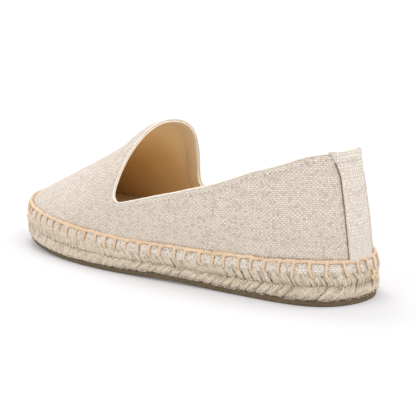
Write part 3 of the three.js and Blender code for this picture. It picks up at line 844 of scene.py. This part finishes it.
def band_mesh():
    foot = station(round_at(ls))
    zc = cord_z(foot)
    ragged = 0.35 * fray(np.stack([ls, 0 * ls, 0 * ls], -1))
    pull = np.cos(2 * PI * (ls - STITCH_0) / STITCH)
    rows = []  # (out, z) from the top inside, over the face, to the back at the bottom
    prof = [(-2.6, -0.1), (-2.0, 0.15), (-1.45, -0.2), (-0.85, -0.95), (-0.30, -2.0), (0.10, -3.1), (0.32, -4.1), (0.40, -5.0), (0.34, -5.6), (0.05, -5.75), (-0.6, -5.5)]
    for k, (o, dz) in enumerate(prof):
        amount = 0.22 if 2 <= k <= 8 else 0.05
        low = ragged if k >= 7 else 0.0 * ragged
        rows.append(side_point(ls, o - amount * np.maximum(pull, -0.2) * 1.1 + 0.12 * fray(np.stack([ls, 0 * ls + 40 + k * 3, 0 * ls], -1)), zc + dz + low))
    G = np.stack(rows, 1)  # (N, K, 3)
    n, k = G.shape[:2]
    ids = np.arange(n * k).reshape(n, k)
    nxt = np.roll(ids, -1, 0)
    F = np.stack([ids[:, :-1], nxt[:, :-1], nxt[:, 1:], ids[:, 1:]], -1).reshape(-1, 4)
    along = np.concatenate([[0], np.cumsum([math.hypot(a[0] - b[0], a[1] - b[1]) for a, b in zip(prof[1:], prof[:-1])])])
    uv = np.stack([np.repeat(ls[:, None], k, 1), np.repeat(along[None], n, 0)], -1).reshape(-1, 2)
    return G.reshape(-1, 3), F, uv


bv, bf, buv = band_mesh()
band = add("canvas_band", bv, bf, M_BAND, buv, slot="canvas")
mod = band.modifiers.new("thick", "SOLIDIFY")
mod.thickness = 0.0006
mod.offset = -1

# frayed thread ends along the band's lower edge
nf = 520
fl = np.sort(rng.uniform(0, ROUND, nf))
zc = cord_z(station(round_at(fl)))
m = 5
q = np.linspace(0, 1, m)
slant = rng.normal(0, 0.55, nf)
length = rng.uniform(0.7, 2.1, nf)
P = side_point(fl[:, None] + slant[:, None] * q * length[:, None], 0.55 + 0.45 * np.sin(q * 2)[None] * rng.uniform(0.3, 1.2, nf)[:, None],
               zc[:, None] - 5.3 - q[None] * length[:, None])
R = np.repeat(side_out(fl)[:, None], m, 1)
ends = tubes(P, 0.13, R, sides=4)
add("band_fray", *ends[:2], M_BAND, ends[2], slot="canvas")

# ---------------------------------------------------------------- blanket stitch
def ply(paths, refs, radius, pitch, plies=2, sides=6, phase=0.0):
    """Paths laid up from twisted plies."""
    n, m, _ = paths.shape
    tan = np.gradient(paths, axis=1)
    tan /= np.maximum(np.linalg.norm(tan, axis=-1, keepdims=True), 1e-9)
    nor = refs - (refs * tan).sum(-1, keepdims=True) * tan
    nor /= np.maximum(np.linalg.norm(nor, axis=-1, keepdims=True), 1e-9)
    bi = np.cross(tan, nor)
    d = np.concatenate([np.zeros((n, 1)), np.cumsum(np.linalg.norm(np.diff(paths, axis=1), axis=-1), 1)], 1)
    r = np.broadcast_to(np.asarray(radius, float), (n, m))
    parts = []
    for k in range(plies):
        a = 2 * PI * d / pitch + 2 * PI * k / plies + phase
        off = 0.52 * r
        c = paths + (off * np.cos(a))[..., None] * nor + (off * np.sin(a))[..., None] * bi
        parts.append(tubes(c, r * 0.62, refs, sides=sides))
    return join_parts(parts)


wob = wave_noise(41, 24, 5, 30)
fine_wob = wave_noise(43, 24, 1.6, 5)
n_leg = int(round(ROUND / STITCH))
pitch = ROUND / n_leg
legs_l = STITCH_0 + STITCH * np.arange(n_leg)
legs_l = np.where(np.arange(n_leg) < n_leg // 2, legs_l, STITCH_0 + pitch * np.arange(n_leg))
legs_l = legs_l + rng.normal(0, 0.32, n_leg)
lc = np.linspace(0, ROUND, 1500)
near_leg = np.min(np.abs((lc[:, None] - legs_l[None] + ROUND / 2) % ROUND - ROUND / 2), 1)
zc = cord_z(station(round_at(lc)))
flat3 = lambda l, y=0.0: np.stack([l, 0 * l + y, 0 * l], -1)
lift = 0.22 * wob(flat3(lc)) - 0.25 * np.exp(-(near_leg / 1.1) ** 2)
cp = side_point(lc, -1.10 + 0.10 * fine_wob(flat3(lc, 9)), zc + 0.30 + lift)
cp[-1] = cp[0]
cord_r = 0.87 + 0.10 * fine_wob(flat3(lc, 50)) + 0.22 * np.exp(-(near_leg / 0.9) ** 2)
cord = ply(cp[None], side_out(lc)[None], cord_r[None], 3.1, sides=7)

m = 14
q = np.linspace(0, 1, m)
toe_ward = ease((station(round_at(legs_l)) - 150) / 70)
zc = cord_z(station(round_at(legs_l)))
drop = 6.5 + rng.normal(0, 0.5, n_leg) + 1.0 * toe_ward
lean = rng.normal(-0.35, 0.6, n_leg)
bowed = rng.normal(0.35, 0.4, n_leg) + 0.75 * toe_ward * np.sign(np.sin(round_at(legs_l)))
ll = legs_l[:, None] + lean[:, None] * q + bowed[:, None] * np.sin(PI * q)
out = np.interp(q, [0, 0.07, 0.16, 0.35, 0.6, 0.8, 0.92, 1], [-1.9, -0.95, -0.45, 0.15, 0.62, 0.98, 1.0, -0.1])[None] + 0 * ll
z = zc[:, None] + 0.75 - (drop[:, None] + 0.75) * q
lp = side_point(ll, out, z)
leg_r = (0.70 + rng.normal(0, 0.05, n_leg))[:, None] * (1.22 - 0.42 * q ** 0.8)[None]
legs = ply(lp, np.repeat(side_out(legs_l)[:, None], m, 1), leg_r, 2.6, sides=6)
sv, sf, su = join_parts([cord, legs])
stitch = add("blanket_stitch", sv, sf, M_THREAD, su, slot="canvas_strip")

# a tangle of thread ends at the back, and a few stray ends near the toe
tails = []
for k in range(9):
    mm = 26
    a = np.linspace(0, 1, mm)
    l0 = ROUND - 7.0 + rng.normal(0, 1.2)
    z0 = cord_z(0.0) - 7.6 + rng.normal(0, 0.7)
    l = l0 + 2.4 * np.sin(a * rng.uniform(3, 8) + rng.uniform(0, 6)) * (0.4 + a)
    zz = z0 + 1.5 * np.sin(a * rng.uniform(4, 9) + rng.uniform(0, 6))
    o = 1.5 + 0.8 * np.sin(a * rng.uniform(4, 8) + rng.uniform(0, 6))
    tails.append(tubes(side_point(l, o, zz)[None], np.linspace(0.34, 0.22, mm)[None], side_out(l)[None], sides=5))
for l0, z0, dl, dz in ((238, -8.2, 3.5, -6.5), (231, -8.0, 1.5, -5.0), (222, -8.5, -3.0, -3.5), (252, -8.0, 2.0, -4.0)):
    mm = 14
    a = np.linspace(0, 1, mm)
    l = l0 + dl * a + 0.7 * np.sin(a * 5)
    zz = cord_z(station(round_at(l))) + z0 + dz * a
    tails.append(tubes(side_point(l, 1.7 + 0.3 * np.sin(a * 6), zz)[None], np.linspace(0.34, 0.16, mm)[None], side_out(l)[None], sides=5))
tv, tf, tu = join_parts(tails)
add("thread_ends", tv, tf, M_TAIL, tu, slot="canvas_strip")

# ---------------------------------------------------------------- the braid
def foot_z(l):
    return floor_z(station(round_at(l))) + RUBBER + 0.2


def top_z(l):
    return cord_z(station(round_at(l))) - BAND + 0.9


yarn_pitch, per = 1.36, 4
count = int(round(ROUND / (yarn_pitch * per))) * per
yarn_pitch = ROUND / count
base_l = np.arange(count) * yarn_pitch
k_in = np.arange(count) % per
group_off = rng.normal(0, 0.28, count // per).repeat(per)
gap_at = ((k_in == 0) & (rng.uniform(size=count // per).repeat(per) < 0.42)) * (base_l % ROUND > 0) * 1.0
soft = 1 - 0.72 * ease((station(round_at(base_l)) - 60) / 120)  # the plait is pressed flatter towards the toe
m = 10
q = np.linspace(0, 1, m)


def strand_row(upper_row):
    zf, zt = foot_z(base_l), top_z(base_l)
    groove = zf + 0.53 * (zt - zf) + 0.35 * wob(flat3(base_l, 70))
    jit = rng.normal(0, 0.22, count)
    bow = np.sin(PI * q)
    if upper_row:
        l = base_l[:, None] + group_off[:, None] + jit[:, None] + (4.3 * (1 - q) - 0.9 * bow)[None] - 1.0
        z = (zt[:, None] + 0.6) * (1 - q) + (groove[:, None] + 0.1) * q
    else:
        l = base_l[:, None] + group_off[:, None] + jit[:, None] + (6.0 * q - 0.6 * bow)[None] - 1.0
        z = (groove[:, None] - 0.2) * (1 - q) + (zf[:, None] + 0.62) * q
    proud = np.array([-0.30, 0.10, 0.12, -0.22])[k_in] + rng.normal(0, 0.12, count)
    proud = proud - 0.75 * gap_at
    out = 0.50 - (0.35 + 0.95 * (soft[:, None] - 0.45) / 0.55) * (1 - bow[None] ** 0.7) + proud[:, None] * soft[:, None]
    out = out + 0.16 * fine_wob(np.stack([base_l[:, None] + 0 * q, z * 1.0, 0 * z + (50 if upper_row else 90)], -1))
    out = out - (0.25 * (1 - q) if not upper_row else 0.12 * (1 - q))[None]
    z = z + rng.normal(0, 0.15, count)[:, None] * bow
    P = side_point(l, out, z)
    r = (0.80 + rng.normal(0, 0.06, count))[:, None] * (0.82 + 0.24 * bow)[None]
    ref = np.repeat(side_out(base_l)[:, None], m, 1)
    return tubes(P, r, ref, sides=7, flat=0.85)


jv, jf, ju = join_parts([strand_row(True), strand_row(False)])
braid = add("jute_braid", jv, jf, M_JUTE, ju, slot="jute")
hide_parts("jute_sole")

# the body of the sole behind the plait, in jute darkened with painted shade
N = 360


def ring_mesh(prof, n=N, cap=True):
    """A slab round the outline: prof is a list of (out function, height function) of the distance round."""
    l = np.interp(np.linspace(0, 2 * PI, n + 1)[:-1], _phi, _arc)
    G = np.stack([side_point(l, o(l) if callable(o) else o, h(l)) for o, h in prof], 1)
    k = len(prof)
    ids = np.arange(n * k).reshape(n, k)
    nxt = np.roll(ids, -1, 0)
    F = [np.stack([ids[:, :-1], nxt[:, :-1], nxt[:, 1:], ids[:, 1:]], -1).reshape(-1, 4)[:, ::-1][:, ::-1]]
    uv = np.stack([np.repeat(l[:, None], k, 1), np.repeat(np.arange(k)[None] * 2.0, n, 0)], -1).reshape(-1, 2)
    verts = G.reshape(-1, 3)
    if cap:  # close top and bottom with strips across, 12 wide
        h = n // 2
        for row, flip in ((0, False), (k - 1, True)):
            L = ids[:h + 1, row]
            Rr = np.concatenate([[ids[0, row]], ids[h:, row][::-1]])
            across = 10
            rows = [L]
            for j in range(1, across):
                x = verts[L] * (1 - j / across) + verts[Rr] * (j / across)
                start = len(verts)
                verts = np.concatenate([verts, x])
                uv = np.concatenate([uv, x[:, [0, 1]]])
                rows.append(start + np.arange(len(x)))
            rows.append(Rr)
            grid = np.stack(rows, 1)
            a, b, c, d = grid[:-1, :-1], grid[1:, :-1], grid[1:, 1:], grid[:-1, 1:]
            f = np.stack([a, b, c, d], -1).reshape(-1, 4)
            F.append(f[:, ::-1] if flip else f)
    return verts, np.concatenate(F), uv


def weld(o, dist=1e-6):
    import bmesh
    bm = bmesh.new()
    bm.from_mesh(o.data)
    bmesh.ops.remove_doubles(bm, verts=bm.verts, dist=dist)
    bmesh.ops.recalc_face_normals(bm, faces=bm.faces)
    bm.to_mesh(o.data)
    bm.free()
    o.data.polygons.foreach_set("use_smooth", np.full(len(o.data.polygons), True))
    return o


core = ring_mesh([(-2.2, lambda l: foot_z(l) + 0.0), (-0.75, lambda l: foot_z(l) + 0.25), (-0.45, lambda l: foot_z(l) + 3.2),
                  (-0.95, lambda l: foot_z(l) + 0.52 * (top_z(l) - foot_z(l))), (-0.6, lambda l: top_z(l) - 2.0), (-0.9, lambda l: top_z(l) + 0.6), (-1.75, lambda l: top_z(l) + 0.8),
                  (-1.75, lambda l: cord_z(station(round_at(l))) - 2.2)])
weld(add("jute_body", *core[:2], M_CORE, core[2], slot="jute"))

# loose fibres on the braid
nf = 2600
fl = rng.uniform(0, ROUND, nf)
m = 6
q = np.linspace(0, 1, m)
zf, zt = foot_z(fl), top_z(fl)
z0 = zf + rng.uniform(-0.05, 0.98, nf) * (zt - zf)
dl, dz = rng.normal(0, 2.4, nf), rng.normal(0, 1.6, nf)
curl = rng.uniform(0.1, 0.75, nf)
l = fl[:, None] + dl[:, None] * q + 0.5 * np.sin(q[None] * rng.uniform(2, 6, nf)[:, None])
z = z0[:, None] + dz[:, None] * q
z = np.clip(z, (zf + 0.35)[:, None], (zt + 0.3)[:, None])
o = 0.65 + curl[:, None] * np.sin(q * PI * 0.75)[None]
P = side_point(l, o, z)
fib = tubes(P, rng.uniform(0.05, 0.12, nf)[:, None] * np.ones(m), np.repeat(side_out(fl)[:, None], m, 1), sides=4)
add("jute_fibres", *fib[:2], M_FIBRE, fib[2], slot="jute")

# ---------------------------------------------------------------- rubber outsole
rag = wave_noise(61, 40, 1.6, 6)
low = lambda l: floor_z(station(round_at(l)))
rubber = ring_mesh([
    (-3.2, low), (-0.75, low), (-0.22, lambda l: low(l) + 0.18), (0.0, lambda l: low(l) + 0.55), (0.05, lambda l: low(l) + 1.4),
    (lambda l: -0.12 + 0.06 * rag(flat3(l)), lambda l: low(l) + 2.1 + 0.12 * rag(flat3(l, 3))),
    (lambda l: -0.35 + 0.12 * rag(flat3(l, 6)), lambda l: low(l) + 2.75 + 0.25 * rag(flat3(l, 9))),
    (-0.9, lambda l: low(l) + 2.9), (-2.4, lambda l: low(l) + 2.7)], n=900)
sole = weld(add("rubber_outsole", *rubber[:2], M_RUBBER, rubber[2], slot="outsole_rubber"))
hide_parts("outsole")

# ---------------------------------------------------------------- insole
def insole_in(l):
    return -(3.8 + 2.2 * np.clip((station(round_at(l)) - 185) / 65, 0, 1) ** 2)


czl = lambda l: cord_z(station(round_at(l)))
ins = ring_mesh([(lambda l: insole_in(l) + 0.0, lambda l: czl(l) - 1.9), (lambda l: insole_in(l), lambda l: czl(l) - 0.2),
                 (lambda l: insole_in(l) - 0.35, lambda l: czl(l) + 0.25), (lambda l: insole_in(l) - 1.3, lambda l: czl(l) + 0.4)], n=240)
sock = weld(add("insole_sock", *ins[:2], M_SOCK, ins[2], slot="sock_lining"))
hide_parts("insole")

# ---------------------------------------------------------------- strip over the back seam
STRIP_WIDTH, STRIP_THICK, STRIP_STEP = 16.6, 0.9, 0.75


def strip_columns():
    A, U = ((48, 90))
    wgrid = np.linspace(0, 0.5, 400)
    rows = []
    low = float(reach(1, np.array(-1.0), cord_z(0.0) + 0.1))
    high = float(reach(1, np.array(-1.0), collar_z(1, -1.0) + STRIP_STEP))
    vs = np.linspace(low, high, U + 1)
    half = {}
    for side in (1, -1):
        h = []
        for v in vs:
            p = outer(side, -1 + wgrid, np.full_like(wgrid, v))
            d = np.concatenate([[0], np.cumsum(np.hypot(np.diff(p[:, 0]), np.diff(p[:, 1])))])
            z = p[0, 2]
            width = STRIP_WIDTH / 2 + 4.6 * max(0.0, (z - 57) / 14.5) ** 2
            h.append(np.interp(width, d, wgrid))
        half[side] = np.array(h)
    g = np.linspace(-1, 1, A + 1)
    return g, half, U


g, half, U = strip_columns()
SP, SN, SUV = [], [], []
for x in g:
    side = 1 if x >= 0 else -1
    W = -1 + abs(x) * half[side]
    a = reach(side, W, np.full_like(W, cord_z(0.0) + 0.1))
    b = reach(side, W, collar_z(side, W) + STRIP_STEP)
    v = a + (b - a) * np.linspace(0, 1, U + 1)
    SP.append(outer(side, W, v))
    SN.append(outward(side, W, v))
SP, SN = np.stack(SP), np.stack(SN)
cols_arc = np.concatenate([np.zeros((1, U + 1)), np.cumsum(np.linalg.norm(np.diff(SP, axis=0), axis=-1), 0)])
cols_arc -= cols_arc[len(g) // 2]
rows_arc = np.concatenate([np.zeros((len(g), 1)), np.cumsum(np.linalg.norm(np.diff(SP, axis=1), axis=-1), 1)], 1)
edge = np.minimum(cols_arc - cols_arc[:1], cols_arc[-1:] - cols_arc)
top = rows_arc[:, -1:] - rows_arc
near = np.minimum(edge, top)
d = GAP + 0.10 + STRIP_THICK + 0.12 * broad(SP * 1.4) + 0.05 * ripple(SP * 1.6)
d = d - 0.75 * np.exp(-near / 0.32)
d = d - 0.20 * np.exp(-((top - 5.0) / 0.7) ** 2) + 0.10 * np.exp(-((top - 2.4) / 1.5) ** 2)
d = d - 0.45 * (1 - ease((top - 5.5) / 2.5))
d = d - 0.16 * np.exp(-(cols_arc / 0.55) ** 2) * ease((top - 4) / 4)
face = SP + SN * d[..., None]
back = SP + SN * (GAP * 0.4)
n1, n2 = face.shape[:2]
ids = np.arange(n1 * n2).reshape(n1, n2)
front = np.stack([ids[:-1, :-1], ids[1:, :-1], ids[1:, 1:], ids[:-1, 1:]], -1).reshape(-1, 4)
rear = front[:, ::-1] + n1 * n2
loop = np.concatenate([ids[:, 0], ids[-1, 1:], ids[::-1, -1][1:], ids[0, ::-1][1:-1]])
nx = np.roll(loop, -1)
rimf = np.stack([loop, loop + n1 * n2, nx + n1 * n2, nx], 1)
across = np.abs(cols_arc)
uv = np.stack([across + rows_arc, rows_arc - across], -1).reshape(-1, 2) * math.sqrt(0.5)  # cut on the bias, the two halves mirrored
sv = np.concatenate([face.reshape(-1, 3), back.reshape(-1, 3)])
strip = weld(add("heel_strip_canvas", sv, np.concatenate([front, rear, rimf]), M_STRIP, np.concatenate([uv, uv]),
                 {"low": np.concatenate([rows_arc.ravel() / 60] * 2)}, slot="canvas_strip"), 1e-9)
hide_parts("heel_strip")
# a dark line of painted shade where each edge of the strip is sewn down
lines = []
for k, side in ((0, -1), (len(g) - 1, 1)):
    rows = slice(0, int(np.argmin(np.abs(top[k] - 5.2))))
    c = SP[k, rows] + SN[k, rows] * 0.42
    lines.append(tubes(c[None], (0.26 + 0.05 * bn(c))[None], SN[k, rows][None], sides=6))
lv, lf, lu = join_parts(lines)
add("strip_seam", lv, lf, M_DARK, lu, slot="canvas_strip")
# the strip goes over the top edge and down inside the heel
inner_rows = []
for x in g:
    side = 1 if x >= 0 else -1
    W = (-1 + abs(x) * half[side][-1]) * np.ones(16)
    t = reach(side, W, collar_z(side, W))
    hgt = collar_z(side, W) - np.linspace(11, 0, 16)
    v = np.minimum(reach(side, W, hgt), t)
    inner_rows.append(np.concatenate([
        outer(side, W, v) - outward(side, W, v) * (WALL + 0.25),
        (outer(side, W[:1], t[:1]) - outward(side, W[:1], t[:1]) * (WALL * 0.55) + np.array([[0, 0, STRIP_STEP + 0.15]])),
        (outer(side, W[:1], t[:1]) + outward(side, W[:1], t[:1]) * 0.55 + np.array([[0, 0, STRIP_STEP - 0.35]]))]))
IR = np.stack(inner_rows)
n1, n2 = IR.shape[:2]
ids = np.arange(n1 * n2).reshape(n1, n2)
facing_faces = np.stack([ids[:-1, :-1], ids[:-1, 1:], ids[1:, 1:], ids[1:, :-1]], -1).reshape(-1, 4)
ir_arc = np.concatenate([np.zeros((n1, 1)), np.cumsum(np.linalg.norm(np.diff(IR, axis=1), axis=-1), 1)], 1)
turned = add("heel_turn_in", IR.reshape(-1, 3), facing_faces, M_STRIP, np.stack([np.repeat(cols_arc[:, -1:], n2, 1), ir_arc], -1).reshape(-1, 2),
             {"low": np.full(n1 * n2, 1.0)}, slot="canvas_strip")
mod = turned.modifiers.new("thick", "SOLIDIFY")
mod.thickness = 0.0005
mod.offset = 0

# ---------------------------------------------------------------- hem stitches: thread over the cloth, with a dark disc of painted shade for the needle hole at each end
def stitch_line(P, N, pitch, length, lift, skip=None):
    """Short stitches along a line of points P with normals N."""
    arc = np.concatenate([[0], np.cumsum(np.linalg.norm(np.diff(P, axis=0), axis=1))])
    n = int(arc[-1] / pitch)
    at = (np.arange(n) + 0.5) * arc[-1] / n
    q = np.linspace(-0.5, 0.5, 6)
    where = at[:, None] + q * length
    C = np.stack([np.interp(where, arc, P[:, k]) for k in range(3)], -1)
    D = np.stack([np.interp(where, arc, N[:, k]) for k in range(3)], -1)
    C = C + D * (lift + 0.22 * np.cos(q * PI))[None, :, None]
    thread = tubes(C, 0.20, D, sides=5)
    hole_at = np.stack([at - 0.5 * length - 0.12, at + 0.5 * length + 0.12], 1).ravel()
    H = np.stack([np.interp(hole_at, arc, P[:, k]) for k in range(3)], -1)
    HN = np.stack([np.interp(hole_at, arc, N[:, k]) for k in range(3)], -1)
    T = np.stack([np.interp(hole_at + 0.3, arc, P[:, k]) for k in range(3)], -1) - H
    T /= np.maximum(np.linalg.norm(T, axis=1, keepdims=True), 1e-9)
    q3 = np.array([-1.0, -0.5, 0.0, 0.5, 1.0])
    HP = H[:, None] + T[:, None] * q3[None, :, None] * 0.30 + HN[:, None] * (lift + 0.02)
    rr = np.repeat(np.array([0.10, 0.28, 0.34, 0.28, 0.10])[None], len(H), 0)
    holes = tubes(HP, rr, np.repeat(HN[:, None], 5, 1), sides=6, flat=0.35)
    return thread, holes


def hem_line(side, away):
    """The line on the canvas a given distance in from the free edge, from the strip to the tongue's top."""
    pts = []
    ws = WS[(WS > -0.90) & (WS <= 0)]
    for w in ws:
        t = float(reach(side, np.array(w), collar_z(side, w)))
        vs = np.linspace(t * 0.5, t, 60)
        p = outer(side, np.full(60, w), vs)
        r = rim_distance(p)
        k = np.where(r <= away)[0]
        k = k[0] if len(k) else 59
        pts.append((side, w, vs[k]))
    return pts


def throat_line(side, away):
    tops, low, high = upper_columns(side)
    pts = []
    for v in np.linspace(tops[C0] * 1.02, 1.0, 60):
        wv = np.linspace(0, 0.30, 80)
        p = outer(side, wv, np.full(80, v))
        r = rim_distance(p)
        k = np.where(r >= away)[0]
        pts.append((side, wv[k[0]] if len(k) else 0.3, v))
    return pts


threads, holes = [], []
for side in (1, -1):
    line = hem_line(side, 3.0)
    line = [x for x in line if x[1] < -0.06]
    P = np.array([outer(*x) for x in line])
    N = np.array([outward(*x) for x in line])
    R = rim_distance(P)
    D = np.array([float(dents(x[0], np.array(x[1]), np.array(x[2]), p, r)) for x, p, r in zip(line, P, R)])
    P = P + N * (D + 0.05)[:, None]
    a, b = stitch_line(P, N, 2.9, 1.9, -0.06)
    threads.append(a)
    holes.append(b)
# the strip's hem
mid_rows = int(np.argmin(np.abs(top[len(g) // 2] - 5.0)))
sp = face[2:-2, mid_rows]
a, b = stitch_line(sp, SN[2:-2, mid_rows], 3.1, 1.9, 0.02)
threads.append(a)
holes.append(b)
tv, tf, tu = join_parts(threads)
add("hem_stitches", tv, tf, M_SEAM, tu, slot="canvas_strip")
hv, hf, hu = join_parts(holes)
add("needle_holes", hv, hf, M_HOLE, hu, slot="canvas_strip")

# ---------------------------------------------------------------- stage: floor, light, camera
floor_mat = Nodes("floor")
fx, fy, _ = floor_mat.split(floor_mat.coord())
far = floor_mat.math("POWER", floor_mat.math("ADD", floor_mat.math("MULTIPLY", fx, fx), floor_mat.math("MULTIPLY", fy, fy)), 0.5)
floor_mat.finish(floor_mat.ramp(floor_mat.math("DIVIDE", far, 3.0), [
    (0.06, (0.635, 0.628, 0.642)), (0.20, (0.74, 0.732, 0.748)), (0.42, (0.93, 0.925, 0.935)), (0.8, (0.96, 0.955, 0.965))]), 0.9, spec=0.0)
floor_mat.bsdf.inputs["Emission Color"].default_value = (1, 1, 1, 1)
floor_mat.bsdf.inputs["Emission Strength"].default_value = 0.135
fm = bpy.data.meshes.new("floor")
fm.from_pydata([(-8, -8, 0), (8, -8, 0), (8, 8, 0), (-8, 8, 0)], [], [(0, 1, 2, 3)])
fm.materials.append(floor_mat.mat)
floor = bpy.data.objects.new("floor", fm)
bpy.context.scene.collection.objects.link(floor)
floor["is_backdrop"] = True

world = bpy.data.worlds.new("studio")
bpy.context.scene.world = world
world.use_nodes = True
world.node_tree.nodes["Background"].inputs[0].default_value = (1.0, 1.0, 1.0, 1)
world.node_tree.nodes["Background"].inputs[1].default_value = 1.02


def area(name, loc, target, size, power, color=(1, 1, 1)):
    d = bpy.data.lights.new(name, "AREA")
    d.shape = "DISK"
    d.size = size
    d.energy = power
    d.color = color
    o = bpy.data.objects.new(name, d)
    from mathutils import Vector
    o.location = loc
    o.rotation_euler = (Vector(target) - Vector(loc)).to_track_quat("-Z", "Y").to_euler()
    bpy.context.scene.collection.objects.link(o)
    return o


area("key_light", (-0.75, 0.75, 1.25), (0, 0, 0.03), 0.9, 2.5)
area("fill_light", (0.45, 1.30, 0.88), (0, 0, 0.03), 0.7, 4.7)
area("toe_light", (-0.35, -0.75, 1.25), (0, -0.06, 0.03), 0.8, 7.6)
area("side_light", (1.25, -0.55, 0.75), (0, -0.03, 0.04), 0.8, 3.5)

from mathutils import Matrix, Vector
yaw, pitch_, roll, focal = 0.7649, 0.1805, -0.0104, 1203.94
cam_stz = (-329.08, 452.675, 146.585)
fwd = Vector((-math.cos(yaw) * math.cos(pitch_), -math.sin(yaw) * math.cos(pitch_), -math.sin(pitch_)))
right = Vector((-math.sin(yaw), math.cos(yaw), 0))
up = right.cross(fwd)
right2 = right * math.cos(roll) + up * math.sin(roll)
up2 = -right * math.sin(roll) + up * math.cos(roll)
cam = bpy.data.objects.new("camera", bpy.data.cameras.new("camera"))
m = Matrix((right2, up2, -fwd)).transposed().to_4x4()
m.translation = Vector([float(x) for x in place(np.array(cam_stz))])
cam.matrix_world = m
cam.data.sensor_fit = "HORIZONTAL"
cam.data.sensor_width = 36.0
cam.data.lens = focal / 416 * 36
cam.data.clip_start = 0.01
bpy.context.scene.collection.objects.link(cam)
bpy.context.scene.camera = cam
bpy.context.scene.view_settings.view_transform = "Standard"
bpy.context.scene.view_settings.look = "None"

bpy.context.view_layer.update()
visual_box = [list(map(float, c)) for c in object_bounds()]
